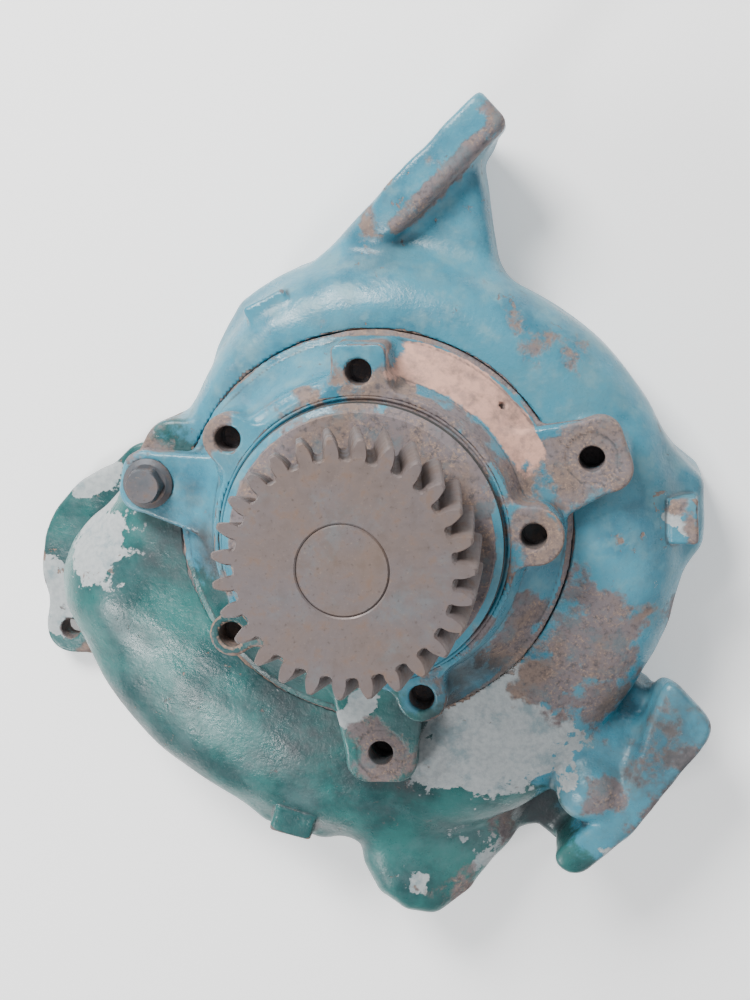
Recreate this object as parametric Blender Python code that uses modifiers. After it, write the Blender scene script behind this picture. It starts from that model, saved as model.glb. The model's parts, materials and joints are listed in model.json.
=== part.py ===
"""Gear-driven coolant circulation pump for a large diesel engine.

The pump lies on its back: +Z is the shaft axis and points at the drive gear, and z = 0 is the plane of
the rear mounting pads and of the outlet flange. Sizes below are in millimetres.
Angles are in degrees, counter-clockwise from +X, seen from the gear.
"""

import math
from itertools import pairwise

import bmesh
import bpy
from mathutils import Matrix, Vector

MM = 0.001
MERGE = 0.00001
FIT = 0.3  # gap left between pieces that touch on the real pump

# ---------------------------------------------------------------- driving dimensions
GEAR_FACE_Z = 150.0
TEETH = 27
MODULE = 3.5
GEAR_WIDTH = 31.5
HELIX_TWIST = 8.1  # turn of a tooth from the front face to the rear face
FLANGE_Z = 98.5  # face that bolts to the timing-gear case
SEAM_Z = 68.0  # front face of the volute casting
SEAM_R = 84.0
COLLAR_R = 57.6
COLLAR_TOP_Z = 106.0
FLANGE_BOSSES = ((2, 12.2), (90, 11.2), (142, 10.5), (215, 9.2), (289, 10.5))  # angle and half-width
FLANGE_HOLE_ANGLES = tuple(angle for angle, _ in FLANGE_BOSSES)
FLANGE_HOLE_R = 69.5  # radius of the circle that the five tapped holes lie on
EARS = ((18.4, 16.0, 15.0), (167.5, 13.5, 12.5), (271.2, 15.5, 13.5))  # angle, half-width, reach past the hole
EAR_ANGLES = tuple(angle for angle, _, _ in EARS)
EAR_R = 97.5
EAR_TOP_Z = 79.0
EAR_BOTTOM_Z = SEAM_Z + FIT
M10_R = 4.9
M10_HOLE_R = 5.3

COVER_SEAT_Z = 15.0
SUCTION_R = 74.0
COVER_R = 92.0
COVER_BOLTS = 8
COVER_BOLT_R = 83.5
COVER_BOLT_START = -38.5
PARTITION_Z = (29.0, 34.0)
CHAMBER_TOP_Z = 52.0
SHOULDER_Z = 58.0

PORT_ANGLE = -36.7
PORT_FACE = 171.0  # distance of the inlet face from the shaft axis
PORT_OFFSET = -33.0  # sideways offset of the inlet's centre line
PORT_Z = 31.0
PORT_BORE_R = 23.0
TOP_FACE_ANGLE = 133.1  # the top inlet's face looks this way
TOP_FACE = 99.5  # distance of that face from the shaft axis
TOP_CENTRE = -118.0  # the bore's place along the face
TOP_BORE_R = 12.0
TOP_Z = 32.0
OUTLET = (-119.0, -30.0)
OUTLET_BORE_R = 21.0
OUTLET_FLANGE = (-121.0, -31.0)
OUTLET_HOLES = ((-158.5, -62.0), (-116.0, 17.0))
PADS = ((115.3, 1.0), (0.3, 10.0), (-106.8, 6.0))  # angle, and how far each lug stands out of the wall

# outline of the volute: (angle, radius) at its widest level, growing clockwise to the outlet
OUTLINE = (
    (150, 97), (132, 102), (115, 111), (90, 116), (60, 117), (20, 127), (-20, 133),
    (-60, 146), (-90, 150), (-120, 151), (-145, 153), (-162, 147), (-180, 128), (-195, 107),
)

FRONT_BEARING_Z = (90.0, 103.0)
FRONT_PITCH_R = 24.25
ROLLERS = 10
ROLLER_R = 2.55
REAR_BEARING_Z = (74.0, 87.0)
REAR_PITCH_R = 21.25
BALLS = 8
BALL_R = 3.6
SHAFT_FRONT_R = 17.9
SEAL_SEAT_R = 12.5


# ---------------------------------------------------------------- scene and materials
def clear_scene():
    for obj in list(bpy.data.objects):
        bpy.data.objects.remove(obj, do_unlink=True)


def new_collection(name):
    made = bpy.data.collections.new(name)
    bpy.context.scene.collection.children.link(made)
    return made


def material(name, colour, roughness, metallic):
    made = bpy.data.materials.new(name)
    made.use_nodes = True
    shader = made.node_tree.nodes["Principled BSDF"]
    shader.inputs["Base Color"].default_value = (*colour, 1)
    shader.inputs["Roughness"].default_value = roughness
    shader.inputs["Metallic"].default_value = metallic
    made.diffuse_color = (*colour, 1)
    return made


clear_scene()
PUMP = new_collection("circulation_pump")
CUTTERS = new_collection("cutters")
PAINT_TEAL = material("paint_teal", (0.16, 0.36, 0.34), 0.4, 0.0)
PAINT_BLUE = material("paint_blue", (0.20, 0.42, 0.50), 0.45, 0.0)
STEEL_RUSTY = material("steel_rusty", (0.30, 0.24, 0.21), 0.6, 0.8)
STEEL_BRIGHT = material("steel_bright", (0.60, 0.60, 0.62), 0.25, 1.0)
IRON_BARE = material("iron_bare", (0.28, 0.27, 0.26), 0.6, 0.9)
RUBBER = material("rubber", (0.02, 0.02, 0.02), 0.7, 0.0)
BRASS = material("brass", (0.65, 0.48, 0.20), 0.35, 1.0)
CARBON = material("carbon", (0.05, 0.05, 0.05), 0.5, 0.0)
CERAMIC = material("ceramic", (0.85, 0.84, 0.80), 0.3, 0.0)
GASKET_FIBRE = material("gasket_fibre", (0.30, 0.32, 0.27), 0.9, 0.0)


# ---------------------------------------------------------------- modelling helpers
def add_object(name, mesh, paint=None, collection=None):
    obj = bpy.data.objects.new(name, mesh)
    (collection or PUMP).objects.link(obj)
    if paint:
        mesh.materials.append(paint)
    return obj


def as_cutter(obj):
    for owner in list(obj.users_collection):
        owner.objects.unlink(obj)
    CUTTERS.objects.link(obj)
    obj.hide_render = True
    obj.display_type = "WIRE"
    return obj


def mesh_of(name, build):
    """A mesh filled by build(bmesh), scaled from millimetres, with its faces turned outwards."""
    mesh = bpy.data.meshes.new(name)
    work = bmesh.new()
    build(work)
    bmesh.ops.scale(work, vec=(MM, MM, MM), verts=work.verts)
    bmesh.ops.recalc_face_normals(work, faces=work.faces)
    work.to_mesh(mesh)
    work.free()
    return mesh


def cone(name, radius_low, radius_high, z_low, z_high, centre=(0, 0), sides=32, paint=None):
    def build(work):
        bmesh.ops.create_cone(
            work, cap_ends=True, segments=sides, radius1=radius_low, radius2=radius_high,
            depth=z_high - z_low, matrix=Matrix.Translation((*centre, (z_low + z_high) / 2)),
        )

    return add_object(name, mesh_of(name, build), paint)


def cylinder(name, radius, z_low, z_high, centre=(0, 0), sides=32, paint=None):
    return cone(name, radius, radius, z_low, z_high, centre, sides, paint)


def rod(name, start, end, radius_start, radius_end=None, sides=24, paint=None):
    """A cylinder or cone between two points."""
    a, b = Vector(start), Vector(end)
    turn = (b - a).to_track_quat("Z", "Y").to_matrix().to_4x4()

    def build(work):
        bmesh.ops.create_cone(
            work, cap_ends=True, segments=sides, radius1=radius_start,
            radius2=radius_start if radius_end is None else radius_end,
            depth=(b - a).length, matrix=Matrix.Translation((a + b) / 2) @ turn,
        )

    return add_object(name, mesh_of(name, build), paint)


def box(name, x, y, z, angle=0.0, paint=None):
    """A box from its extents along x, y and z, turned by angle about the shaft axis."""
    size = [high - low for low, high in (x, y, z)]
    middle = [(low + high) / 2 for low, high in (x, y, z)]

    def build(work):
        bmesh.ops.create_cube(work, size=1)
        bmesh.ops.scale(work, vec=size, verts=work.verts)
        bmesh.ops.translate(work, vec=middle, verts=work.verts)
        bmesh.ops.rotate(work, cent=(0, 0, 0), verts=work.verts,
                         matrix=Matrix.Rotation(math.radians(angle), 3, "Z"))

    return add_object(name, mesh_of(name, build), paint)


def ball(name, radius, centre, across=16, down=10, paint=None):
    def build(work):
        bmesh.ops.create_uvsphere(work, u_segments=across, v_segments=down, radius=radius,
                                  matrix=Matrix.Translation(centre))

    return add_object(name, mesh_of(name, build), paint)


def loft(name, rings, paint=None):
    """A closed solid through rings of equally many points, with a flat cap on each end."""

    def build(work):
        made = [[work.verts.new(point) for point in ring] for ring in rings]
        for lower, upper in pairwise(made):
            for i in range(len(lower)):
                j = (i + 1) % len(lower)
                work.faces.new((lower[i], lower[j], upper[j], upper[i]))
        work.faces.new(made[0][::-1])
        work.faces.new(made[-1])

    return add_object(name, mesh_of(name, build), paint)


def prism(name, outline, z_low, z_high, paint=None):
    return loft(name, [[(x, y, z) for x, y in outline] for z in (z_low, z_high)], paint)


def turned(name, profile, steps=48, paint=None):
    """A ring turned about the shaft axis from a closed (radius, z) section, or a solid one from a section
    whose ends lie on the axis."""
    closed = profile[0][0] > 0
    area = sum(a[0] * b[1] - b[0] * a[1] for a, b in zip(profile, profile[1:] + profile[:1]))
    points = profile if area < 0 else profile[::-1]
    mesh = bpy.data.meshes.new(name)
    ends = len(points) if closed else len(points) - 1
    edges = [(i, (i + 1) % len(points)) for i in range(ends)]
    mesh.from_pydata([(r * MM, 0, z * MM) for r, z in points], edges, [])
    obj = add_object(name, mesh, paint)
    screw = obj.modifiers.new("turn", "SCREW")
    screw.steps = screw.render_steps = steps
    screw.use_merge_vertices = True
    screw.merge_threshold = MERGE
    return obj


def boolean(obj, other, operation):
    modifier = obj.modifiers.new(f"{operation.lower()}_{other.name}", "BOOLEAN")
    modifier.operation = operation
    modifier.object = as_cutter(other)
    return obj


def join(obj, *others):
    for other in others:
        boolean(obj, other, "UNION")
    return obj


def cut(obj, *others):
    for other in others:
        boolean(obj, other, "DIFFERENCE")
    return obj


def polar(radius, angle, centre=(0, 0)):
    a = math.radians(angle)
    return (centre[0] + radius * math.cos(a), centre[1] + radius * math.sin(a))


def arc(radius, start, end, steps, centre=(0, 0)):
    return [polar(radius, start + (end - start) * i / steps, centre) for i in range(steps + 1)]


def turn_points(points, angle):
    c, s = math.cos(math.radians(angle)), math.sin(math.radians(angle))
    return [(x * c - y * s, x * s + y * c) for x, y in points]


def section_rectangle(inner, outer, low, high, edge=0.0):
    """A ring's section, with its corners cut by edge."""
    if not edge:
        return [(inner, low), (inner, high), (outer, high), (outer, low)]
    return [
        (inner, low + edge), (inner, high - edge), (inner + edge, high), (outer - edge, high),
        (outer, high - edge), (outer, low + edge), (outer - edge, low), (inner + edge, low),
    ]


def torus_section(ring_radius, wire_radius, z, steps=10):
    return [polar(wire_radius, -360 * i / steps, (ring_radius, z)) for i in range(steps)]


def outline_radius(angle):
    """The volute's radius at an angle, smooth through the points of OUTLINE."""
    count = len(OUTLINE)
    sweep = (OUTLINE[0][0] - angle) % 360
    stops = [(OUTLINE[0][0] - a) % 360 for a, _ in OUTLINE] + [360]
    i = max(k for k in range(count) if stops[k] <= sweep + 1e-9)
    t = (sweep - stops[i]) / (stops[i + 1] - stops[i])
    r = [OUTLINE[(i + k) % count][1] for k in (-1, 0, 1, 2)]
    return 0.5 * (
        2 * r[1] + (r[2] - r[0]) * t + (2 * r[0] - 5 * r[1] + 4 * r[2] - r[3]) * t**2
        + (3 * r[1] - r[0] - 3 * r[2] + r[3]) * t**3
    )


# ---------------------------------------------------------------- volute casting
BODY_BOTTOM_Z = 4.0
SEAT_WALL_R = 99.0  # outer radius of the ring round the rear cover
BODY_SHOULDER_Z = 42.0  # the wall is upright up to here and domed above
WALL = 8.0
BODY_SIDES = 50


def body_ring(inset, z, least=0.0):
    angles = [360 * i / BODY_SIDES for i in range(BODY_SIDES)]
    return [(*polar(max(least, outline_radius(a) - inset), a), z) for a in angles]


def seat_ring(z):
    return [(*polar(SEAT_WALL_R, 360 * i / BODY_SIDES), z) for i in range(BODY_SIDES)]


def dome_ring(share):
    """Ring of the domed front, from the outline (share 0) to the rim round the bearing housing (1)."""
    rim = SEAM_R + 4
    rise = math.radians(90 * share)
    z = BODY_SHOULDER_Z + (SEAM_Z - BODY_SHOULDER_Z) * math.sin(rise)
    points = []
    for i in range(BODY_SIDES):
        angle = 360 * i / BODY_SIDES
        edge = outline_radius(angle)
        points.append((*polar(edge + (rim - edge) * (1 - math.cos(rise)), angle), z))
    return points


def volute_body():
    rings = [seat_ring(BODY_BOTTOM_Z), body_ring(6, 18, SEAT_WALL_R + 1), body_ring(0, 26, SEAT_WALL_R),
             body_ring(0, BODY_SHOULDER_Z)]
    rings += [dome_ring(share) for share in (0.3, 0.55, 0.78, 1.0)]
    return loft("volute_housing", rings, PAINT_TEAL)


def scroll_outline(inset):
    """The water passage round the impeller, from the tongue clockwise to the outlet."""
    outer = [polar(outline_radius(a) - inset, a) for a in range(140, -166, -17)]
    return outer + arc(60, -166, 140, 14)


def port_point(along, sideways):
    """A point in the inlet's own directions: along its axis and sideways from the pump's centre."""
    return turn_points([(along, sideways)], PORT_ANGLE)[0]


def rounded_outline(along, sideways, corner):
    """Rectangle with round corners."""
    (x0, x1), (y0, y1) = along, sideways
    corners = ((x1, y1, 0), (x0, y1, 90), (x0, y0, 180), (x1, y0, 270))
    points = []
    for x, y, start in corners:
        centre = (x - corner if x == x1 else x + corner, y - corner if y == y1 else y + corner)
        points += arc(corner, start, start + 90, 4, centre)
    return points


def inlet_flange():
    """Upright plate with round corners at the end of the inlet neck."""
    outline = rounded_outline((PORT_OFFSET - 46.5, PORT_OFFSET + 46.5), (2, 60), 10)
    rings = [[(*port_point(along, side), z) for side, z in outline] for along in (PORT_FACE - 26, PORT_FACE)]
    return loft("inlet_flange", rings)


def top_point(out, along):
    """A point in the top inlet's own directions: out through its face, and along the face."""
    return turn_points([(out, along)], TOP_FACE_ANGLE)[0]


def top_inlet():
    """The inclined flange at the top and the wide neck under it."""
    corners = ((TOP_FACE, -156.5), (TOP_FACE, -92), (TOP_FACE - 17, -88), (TOP_FACE - 17, -155))
    flange = prism("top_inlet_flange", [top_point(*corner) for corner in corners], 4, 60)
    neck = [(4, 127), (-20, 114), (0, 98), (52, 98), (46, 152), (49, 163)]
    levels = ((TOP_Z - 21, 0.72), (TOP_Z - 14, 1), (TOP_Z + 14, 1), (TOP_Z + 21, 0.72))
    rings = [[(x, y, z) for x, y in shrunk(neck, share, (20, 125))] for z, share in levels]
    return flange, loft("top_inlet_neck", rings)


def top_inlet_passages():
    """Bore square to the inclined face, then a way behind the scroll into the suction chamber."""
    start, end = top_point(TOP_FACE + 4, TOP_CENTRE), top_point(TOP_FACE - 22, TOP_CENTRE)
    yield rod("top_inlet_bore", (*start, TOP_Z), (*end, TOP_Z), TOP_BORE_R, sides=20)
    yield box("top_passage_outer", (22, 42), (118, 143), (17, TOP_Z + 9))
    yield box("top_passage_inner", (22, 43), (60, 122), (20, 28.5))
    for i, along in enumerate((-148, -98)):
        hole = [(*top_point(out, along), TOP_Z) for out in (TOP_FACE + 3, TOP_FACE - 12)]
        yield rod(f"top_flange_hole_{i + 1}", *hole, 4.3, sides=12)


def shrunk(outline, share, middle):
    return [(middle[0] + (x - middle[0]) * share, middle[1] + (y - middle[1]) * share) for x, y in outline]


def lower_lug():
    """The large rounded lug at the bottom of the rim."""
    outline = [(-18, -120), (-14, -150), (-12, -164), (-6, -178), (6, -187), (20, -188), (36, -177),
               (53, -155), (64, -120)]
    levels = ((0, 0.94), (5, 1), (34, 1), (45, 0.86), (51, 0.6))
    return loft("lower_lug", [[(x, y, z) for x, y in shrunk(outline, share, (24, -128))]
                              for z, share in levels])


def mounting_pad(index, angle, stand):
    """A lug on the rim whose sides taper into the wall, and the small raised flat on its front."""
    edge = outline_radius(angle)
    outline = [(edge - 22, -31), (edge + stand, -14), (edge + stand, 14), (edge - 22, 31)]
    flat = (edge + stand - 20, edge + stand - 4)
    yield prism(f"mounting_lug_{index + 1}", turn_points(outline, angle), 0, 43)
    yield box(f"mounting_pad_{index + 1}", flat, (-10.5, 10.5), (12, 56), angle)


def arch_web():
    """The low wall that joins the lower lug to the side inlet."""
    return prism("arch_web", [(30, -118), (48, -160), (58, -152), (67, -151), (76, -158), (100, -112)], 3, 26)


def outlet_elbow():
    """The upright pipe over the outlet, closed by a dome."""
    radius, shoulder = 31.5, 33.0
    levels = [(0, radius)]
    for i in range(5):
        rise = math.radians(20 * i)
        levels.append((shoulder + radius * math.sin(rise), radius * math.cos(rise)))
    return loft("outlet_elbow", [[(x, y, z) for x, y in arc(r, 7, 352, 23, OUTLET)] for z, r in levels])


def volute_housing():
    body = volute_body()
    additions = [
        outlet_elbow(),
        cylinder("outlet_flange", 50, 0, 13, OUTLET_FLANGE, 40),
        inlet_flange(),
        rod("inlet_neck", (*port_point(88, PORT_OFFSET), PORT_Z),
            (*port_point(PORT_FACE - 12, PORT_OFFSET), PORT_Z), 27, 30, 24),
        ball("inlet_boss", 17, (89, -121, 42), 16, 10),
        lower_lug(),
        arch_web(),
        *top_inlet(),
    ]
    for i, spot in enumerate(OUTLET_HOLES):
        additions.append(cylinder(f"outlet_lobe_{i + 1}", 12, 0.001, 16, spot, 16))
    for i, angle in enumerate(EAR_ANGLES):
        additions.append(cylinder(f"ear_boss_{i + 1}", 14, 36, SEAM_Z, polar(EAR_R, angle), 20))
    for i, pad in enumerate(PADS):
        additions += mounting_pad(i, *pad)
    join(body, *additions)

    cut(
        body,
        cylinder("spigot_bore", 80, SHOULDER_Z - 7, SEAM_Z + 5, sides=40),
        cylinder("rim_recess", SEAM_R + FIT, SHOULDER_Z, SEAM_Z + 6, sides=40),
        cylinder("impeller_chamber", 69, PARTITION_Z[1], CHAMBER_TOP_Z + 3, sides=40),
        cylinder("impeller_eye", 31, PARTITION_Z[0] - 3, PARTITION_Z[1] + 3),
        cylinder("suction_chamber", SUCTION_R, COVER_SEAT_Z - 2, PARTITION_Z[0], sides=40),
        cylinder("cover_recess", COVER_R + 1.5, -2, COVER_SEAT_Z, sides=40),
        loft("scroll", [[(x, y, z) for x, y in scroll_outline(inset)]
                        for inset, z in ((WALL, PARTITION_Z[1]), (WALL, 44), (WALL + 10, CHAMBER_TOP_Z))]),
        cylinder("outlet_bore", OUTLET_BORE_R, -2, 50, OUTLET, 28),
        box("suction_passage_inner", (60, 132), (PORT_OFFSET - 16, PORT_OFFSET + 16), (20, 28.5), PORT_ANGLE),
        box("suction_passage_outer", (100, 146), (PORT_OFFSET - 14, PORT_OFFSET + 14), (13, 28.5), PORT_ANGLE),
        rod("inlet_bore", (*port_point(136, PORT_OFFSET), PORT_Z),
            (*port_point(PORT_FACE + 4, PORT_OFFSET), PORT_Z), PORT_BORE_R, sides=28),
        cylinder("lower_lug_thread", 4.3, -2, 22, (20, -162), 12),
        *top_inlet_passages(),
    )
    for i, spot in enumerate(OUTLET_HOLES):
        cut(body, cylinder(f"outlet_hole_{i + 1}", 4.5, -2, 20, spot, 16))
    for i, angle in enumerate(EAR_ANGLES):
        cut(body, cylinder(f"ear_thread_{i + 1}", M10_HOLE_R, 54.5, SEAM_Z + 4, polar(EAR_R, angle), 16))
    for i, (angle, stand) in enumerate(PADS):
        spot = polar(outline_radius(angle) + stand - 10, angle)
        cut(body, cylinder(f"pad_thread_{i + 1}", 4.3, -2, 22, spot, 16))
    for i, spot in enumerate(cover_bolt_spots()):
        cut(body, cylinder(f"cover_thread_{i + 1}", 4 + FIT, COVER_SEAT_Z - 2, 28, spot, 10))
    return body


def cover_bolt_spots():
    return [polar(COVER_BOLT_R, COVER_BOLT_START + 360 * i / COVER_BOLTS) for i in range(COVER_BOLTS)]


# ---------------------------------------------------------------- bearing housing
BEARING_HOUSING_SECTION = [
    (20.3, CHAMBER_TOP_Z), (20.3, 64.5), (14.0, 64.5), (14.0, 68.5),
    (20.3, 68.5), (20.3, 73.7), (27.8, 73.7), (27.8, 89.7), (31.3, 89.7), (31.3, 103.2),
    (33.4, 103.2), (33.4, 104.9), (31.3, 104.9), (31.3, COLLAR_TOP_Z), (55.6, COLLAR_TOP_Z),
    (COLLAR_R, 103.4), (55.0, 103.4), (55.0, 99.8), (COLLAR_R, 99.8),
    (COLLAR_R, FLANGE_Z), (61.5, FLANGE_Z), (62.5, 87.0), (79.0, 70.5),
    (SEAM_R, SEAM_Z), (SEAM_R, SHOULDER_Z + FIT), (79.6, SHOULDER_Z + FIT),
    (79.6, 56.8), (77.4, 56.8), (77.4, 53.6), (79.6, 53.6), (79.6, CHAMBER_TOP_Z),
]


def ear_outline(angle, half, reach):
    """A lug from under the flange ring past the bolt hole, with two round corners."""
    corner = 10
    x, y = EAR_R + reach - corner, half - corner
    tip = arc(corner, -90, 0, 3, (x, -y)) + arc(corner, 0, 90, 3, (x, y))
    return turn_points([(66, -22), *tip, (66, 22)], angle)


def flange_boss_outline(angle, half):
    end = arc(half, -90, 90, 6, (FLANGE_HOLE_R, 0))
    return turn_points([(56, -half), *end, (56, half)], angle)


def bearing_housing():
    body = turned("bearing_housing", BEARING_HOUSING_SECTION, 40, PAINT_BLUE)
    for i, ear in enumerate(EARS):
        join(body, prism(f"ear_{i + 1}", ear_outline(*ear), EAR_BOTTOM_Z, EAR_TOP_Z))
    for i, boss in enumerate(FLANGE_BOSSES):
        join(body, prism(f"flange_boss_{i + 1}", flange_boss_outline(*boss), SEAM_Z - 4, FLANGE_Z - 0.02))
    for i, angle in enumerate(EAR_ANGLES):
        cut(body, cylinder(f"ear_hole_{i + 1}", M10_HOLE_R, 60, 90, polar(EAR_R, angle), 16))
    for i, angle in enumerate(FLANGE_HOLE_ANGLES):
        spot = polar(FLANGE_HOLE_R, angle)
        cut(body, cylinder(f"flange_thread_{i + 1}", M10_HOLE_R, 76, FLANGE_Z + 5, spot, 12))
    drain = rod("weep_hole", (*polar(15, 43), 67.2), (*polar(90, 43), 79.0), 1.5, sides=10)
    return cut(body, drain)


# ---------------------------------------------------------------- rear cover and its fasteners
def rear_cover():
    low, high = COVER_SEAT_Z - 8.6, COVER_SEAT_Z - 1.4
    section = [(0, high), (COVER_R, high), (COVER_R, low), (75, low), (72, low + 2), (18, low + 2),
               (16, 0), (0, 0)]
    cover = turned("rear_cover", section, 40, PAINT_TEAL)
    for i, spot in enumerate(cover_bolt_spots()):
        cut(cover, cylinder(f"cover_hole_{i + 1}", 4.5, -5, 20, spot, 12))
    return cover


def rear_cover_gasket():
    ring = turned("rear_cover_gasket", section_rectangle(74.5, 91.5, COVER_SEAT_Z - 1.1, COVER_SEAT_Z - 0.3),
                  32, GASKET_FIBRE)
    for i, spot in enumerate(cover_bolt_spots()):
        cut(ring, cylinder(f"gasket_hole_{i + 1}", 4.8, 5, 20, spot, 8))
    return ring


def cover_bolts():
    top = COVER_SEAT_Z - 8.6 - FIT
    for i, spot in enumerate(cover_bolt_spots()):
        bolt = cylinder(f"rear_cover_bolt_{i + 1}", 7.5, top - 5.3, top, spot, 6, STEEL_RUSTY)
        join(bolt, cylinder(f"cover_bolt_shank_{i + 1}", 4, top - 1, 27, spot, 10))


def ear_bolt():
    """The one flange bolt that is still fitted, in the left ear."""
    spot = polar(EAR_R, EAR_ANGLES[1])
    seat = EAR_TOP_Z + FIT
    bolt = cone("ear_bolt", 10.9, 7.6, seat, seat + 2.6, spot, 20, STEEL_RUSTY)
    return join(
        bolt,
        cylinder("ear_bolt_hex", 8.66, seat + 1, seat + 9.5, spot, 6),
        cylinder("ear_bolt_shank", M10_R, 56, seat + 1, spot, 16),
    )


# ---------------------------------------------------------------- drive gear and shaft
def tooth_half_angle(radius):
    """Half of a tooth's angle at a radius: an involute above the base circle."""
    pitch = MODULE * TEETH / 2
    base = pitch * math.cos(math.radians(20))

    def involute(at):
        pressure = math.acos(min(1.0, base / at))
        return math.tan(pressure) - pressure

    backlash = 0.12 / pitch
    return math.pi / (2 * TEETH) - backlash + involute(pitch) - involute(max(radius, base))


def gear_outline(twist):
    tip = MODULE * (TEETH + 2) / 2
    root = MODULE * TEETH / 2 - 1.5 * MODULE
    flank = (root + 1, MODULE * TEETH / 2 - 0.6, tip)
    points = []
    for tooth in range(TEETH):
        middle = math.radians(twist) + 2 * math.pi * tooth / TEETH
        halves = [tooth_half_angle(r) for r in flank]
        left = [(r, middle - h) for r, h in zip(flank, halves)]
        right = [(r, middle + h) for r, h in zip(flank[::-1], halves[::-1])]
        foot = halves[0] + 0.018
        whole = [(root, middle - foot), *left, *right, (root, middle + foot)]
        points += [(r * math.cos(a), r * math.sin(a)) for r, a in whole]
    return points


def drive_gear():
    slices = 1
    rings = []
    for i in range(slices + 1):
        share = i / slices
        outline = gear_outline(HELIX_TWIST * (1 - share))
        rings.append([(x, y, GEAR_FACE_Z - GEAR_WIDTH * (1 - share)) for x, y in outline])
    gear = loft("drive_gear", rings, STEEL_RUSTY)
    join(gear, cylinder("gear_hub", 27, GEAR_FACE_Z - GEAR_WIDTH - 5, GEAR_FACE_Z - GEAR_WIDTH + 4, sides=32))
    return cut(gear, cylinder("gear_bore", SHAFT_FRONT_R + FIT, 100, 160))


def pump_shaft():
    section = [
        (0, GEAR_FACE_Z), (SHAFT_FRONT_R - 0.5, GEAR_FACE_Z), (SHAFT_FRONT_R, GEAR_FACE_Z - 0.5),
        (SHAFT_FRONT_R, 113.2), (21, 113.2), (21, FRONT_BEARING_Z[1] + FIT),
        (17.5, FRONT_BEARING_Z[1] + FIT), (17.5, FRONT_BEARING_Z[0] - FIT), (15, FRONT_BEARING_Z[0] - FIT),
        (15, REAR_BEARING_Z[0] - FIT), (SEAL_SEAT_R, REAR_BEARING_Z[0] - FIT), (SEAL_SEAT_R, 50.6),
        (10, 50.6), (10, 36.2), (7, 36.2), (7, 24.5), (6, 23.5), (0, 23.5),
    ]
    shaft = turned("pump_shaft", section, 24, STEEL_RUSTY)
    return cut(shaft, box("shaft_keyway", (7.0, 12), (-2.6, 2.6), (38.7, 48.3)))


def impeller_key():
    return box("impeller_key", (7.3, 11.6), (-2.3, 2.3), (39, 48), paint=STEEL_BRIGHT)


# ---------------------------------------------------------------- impeller
def blade_outline(angle):
    """A blade swept back against the pump's clockwise rotation."""
    inner_r, outer_r, sweep, half = 18.0, 64.0, 58.0, 2.0
    middle = [inner_r + (outer_r - inner_r) * i / 4 for i in range(5)]
    left, right = [], []
    for r in middle:
        a = angle + sweep * (r - inner_r) / (outer_r - inner_r)
        spread = math.degrees(half / r)
        left.append(polar(r, a - spread))
        right.append(polar(r, a + spread))
    return left + right[::-1]


def impeller():
    section = [
        (10.4, 35.8), (17, 35.8), (19, 45), (65, 45.2), (65, 48.8), (19, 49.2), (18, 50.2), (10.4, 50.2),
    ]
    wheel = turned("impeller", section, 28, IRON_BARE)
    blades = 6
    for i in range(blades):
        join(wheel, prism(f"blade_{i + 1}", blade_outline(360 * i / blades), PARTITION_Z[1] + 0.7, 46.5))
    return cut(wheel, box("impeller_keyway", (0, 11.9), (-2.6, 2.6), (34, 52)))


def impeller_fasteners():
    turned("impeller_washer", section_rectangle(7.3, 13.5, 33.6, 35.5), 20, STEEL_BRIGHT)
    nut = cylinder("impeller_nut", 12.2, 25.4, 33.3, sides=6, paint=STEEL_BRIGHT)
    cut(nut, cylinder("nut_bore", 7.3, 20, 36, sides=24))
    turned("inlet_wear_ring", section_rectangle(27.4, 30.7, 29.4, 34.2), 28, BRASS)


# ---------------------------------------------------------------- bearings
def race_section(inner, outer, z, groove_r, groove_at, side):
    """A race whose raceway is an arc of radius groove_r centred at radius groove_at.
    side is +1 for an outer race and -1 for an inner one."""
    low, high = z
    middle = (low + high) / 2
    face = inner if side > 0 else outer
    half = math.degrees(math.acos(abs(face - groove_at) / groove_r))
    groove = []
    for i in range(5):
        a = math.radians(-half + 2 * half * i / 4)
        groove.append((groove_at + side * groove_r * math.cos(a), middle + groove_r * math.sin(a)))
    if side > 0:
        return [(inner, low), *groove, (inner, high), (outer, high), (outer, low)]
    return [(inner, low), (inner, high), (outer, high), *groove[::-1], (outer, low)]


def rear_ball_bearing():
    turned("rear_bearing_inner_race",
           race_section(15 + FIT, 19, REAR_BEARING_Z, BALL_R + FIT, REAR_PITCH_R, -1), 24, STEEL_BRIGHT)
    turned("rear_bearing_outer_race",
           race_section(23.5, 27.5, REAR_BEARING_Z, BALL_R + FIT, REAR_PITCH_R, 1), 24, STEEL_BRIGHT)
    middle = sum(REAR_BEARING_Z) / 2
    cage = turned("rear_bearing_cage", section_rectangle(20.2, 22.4, middle - 5.4, middle + 5.4), 24, BRASS)
    for i in range(BALLS):
        x, y = polar(REAR_PITCH_R, 360 * i / BALLS)
        ball(f"rear_bearing_ball_{i + 1}", BALL_R, (x, y, middle), 10, 6, STEEL_BRIGHT)
        pocket = [(*polar(r, 360 * i / BALLS), middle) for r in (18, 25)]
        cut(cage, rod(f"ball_pocket_{i + 1}", *pocket, BALL_R + FIT, sides=10))


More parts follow.
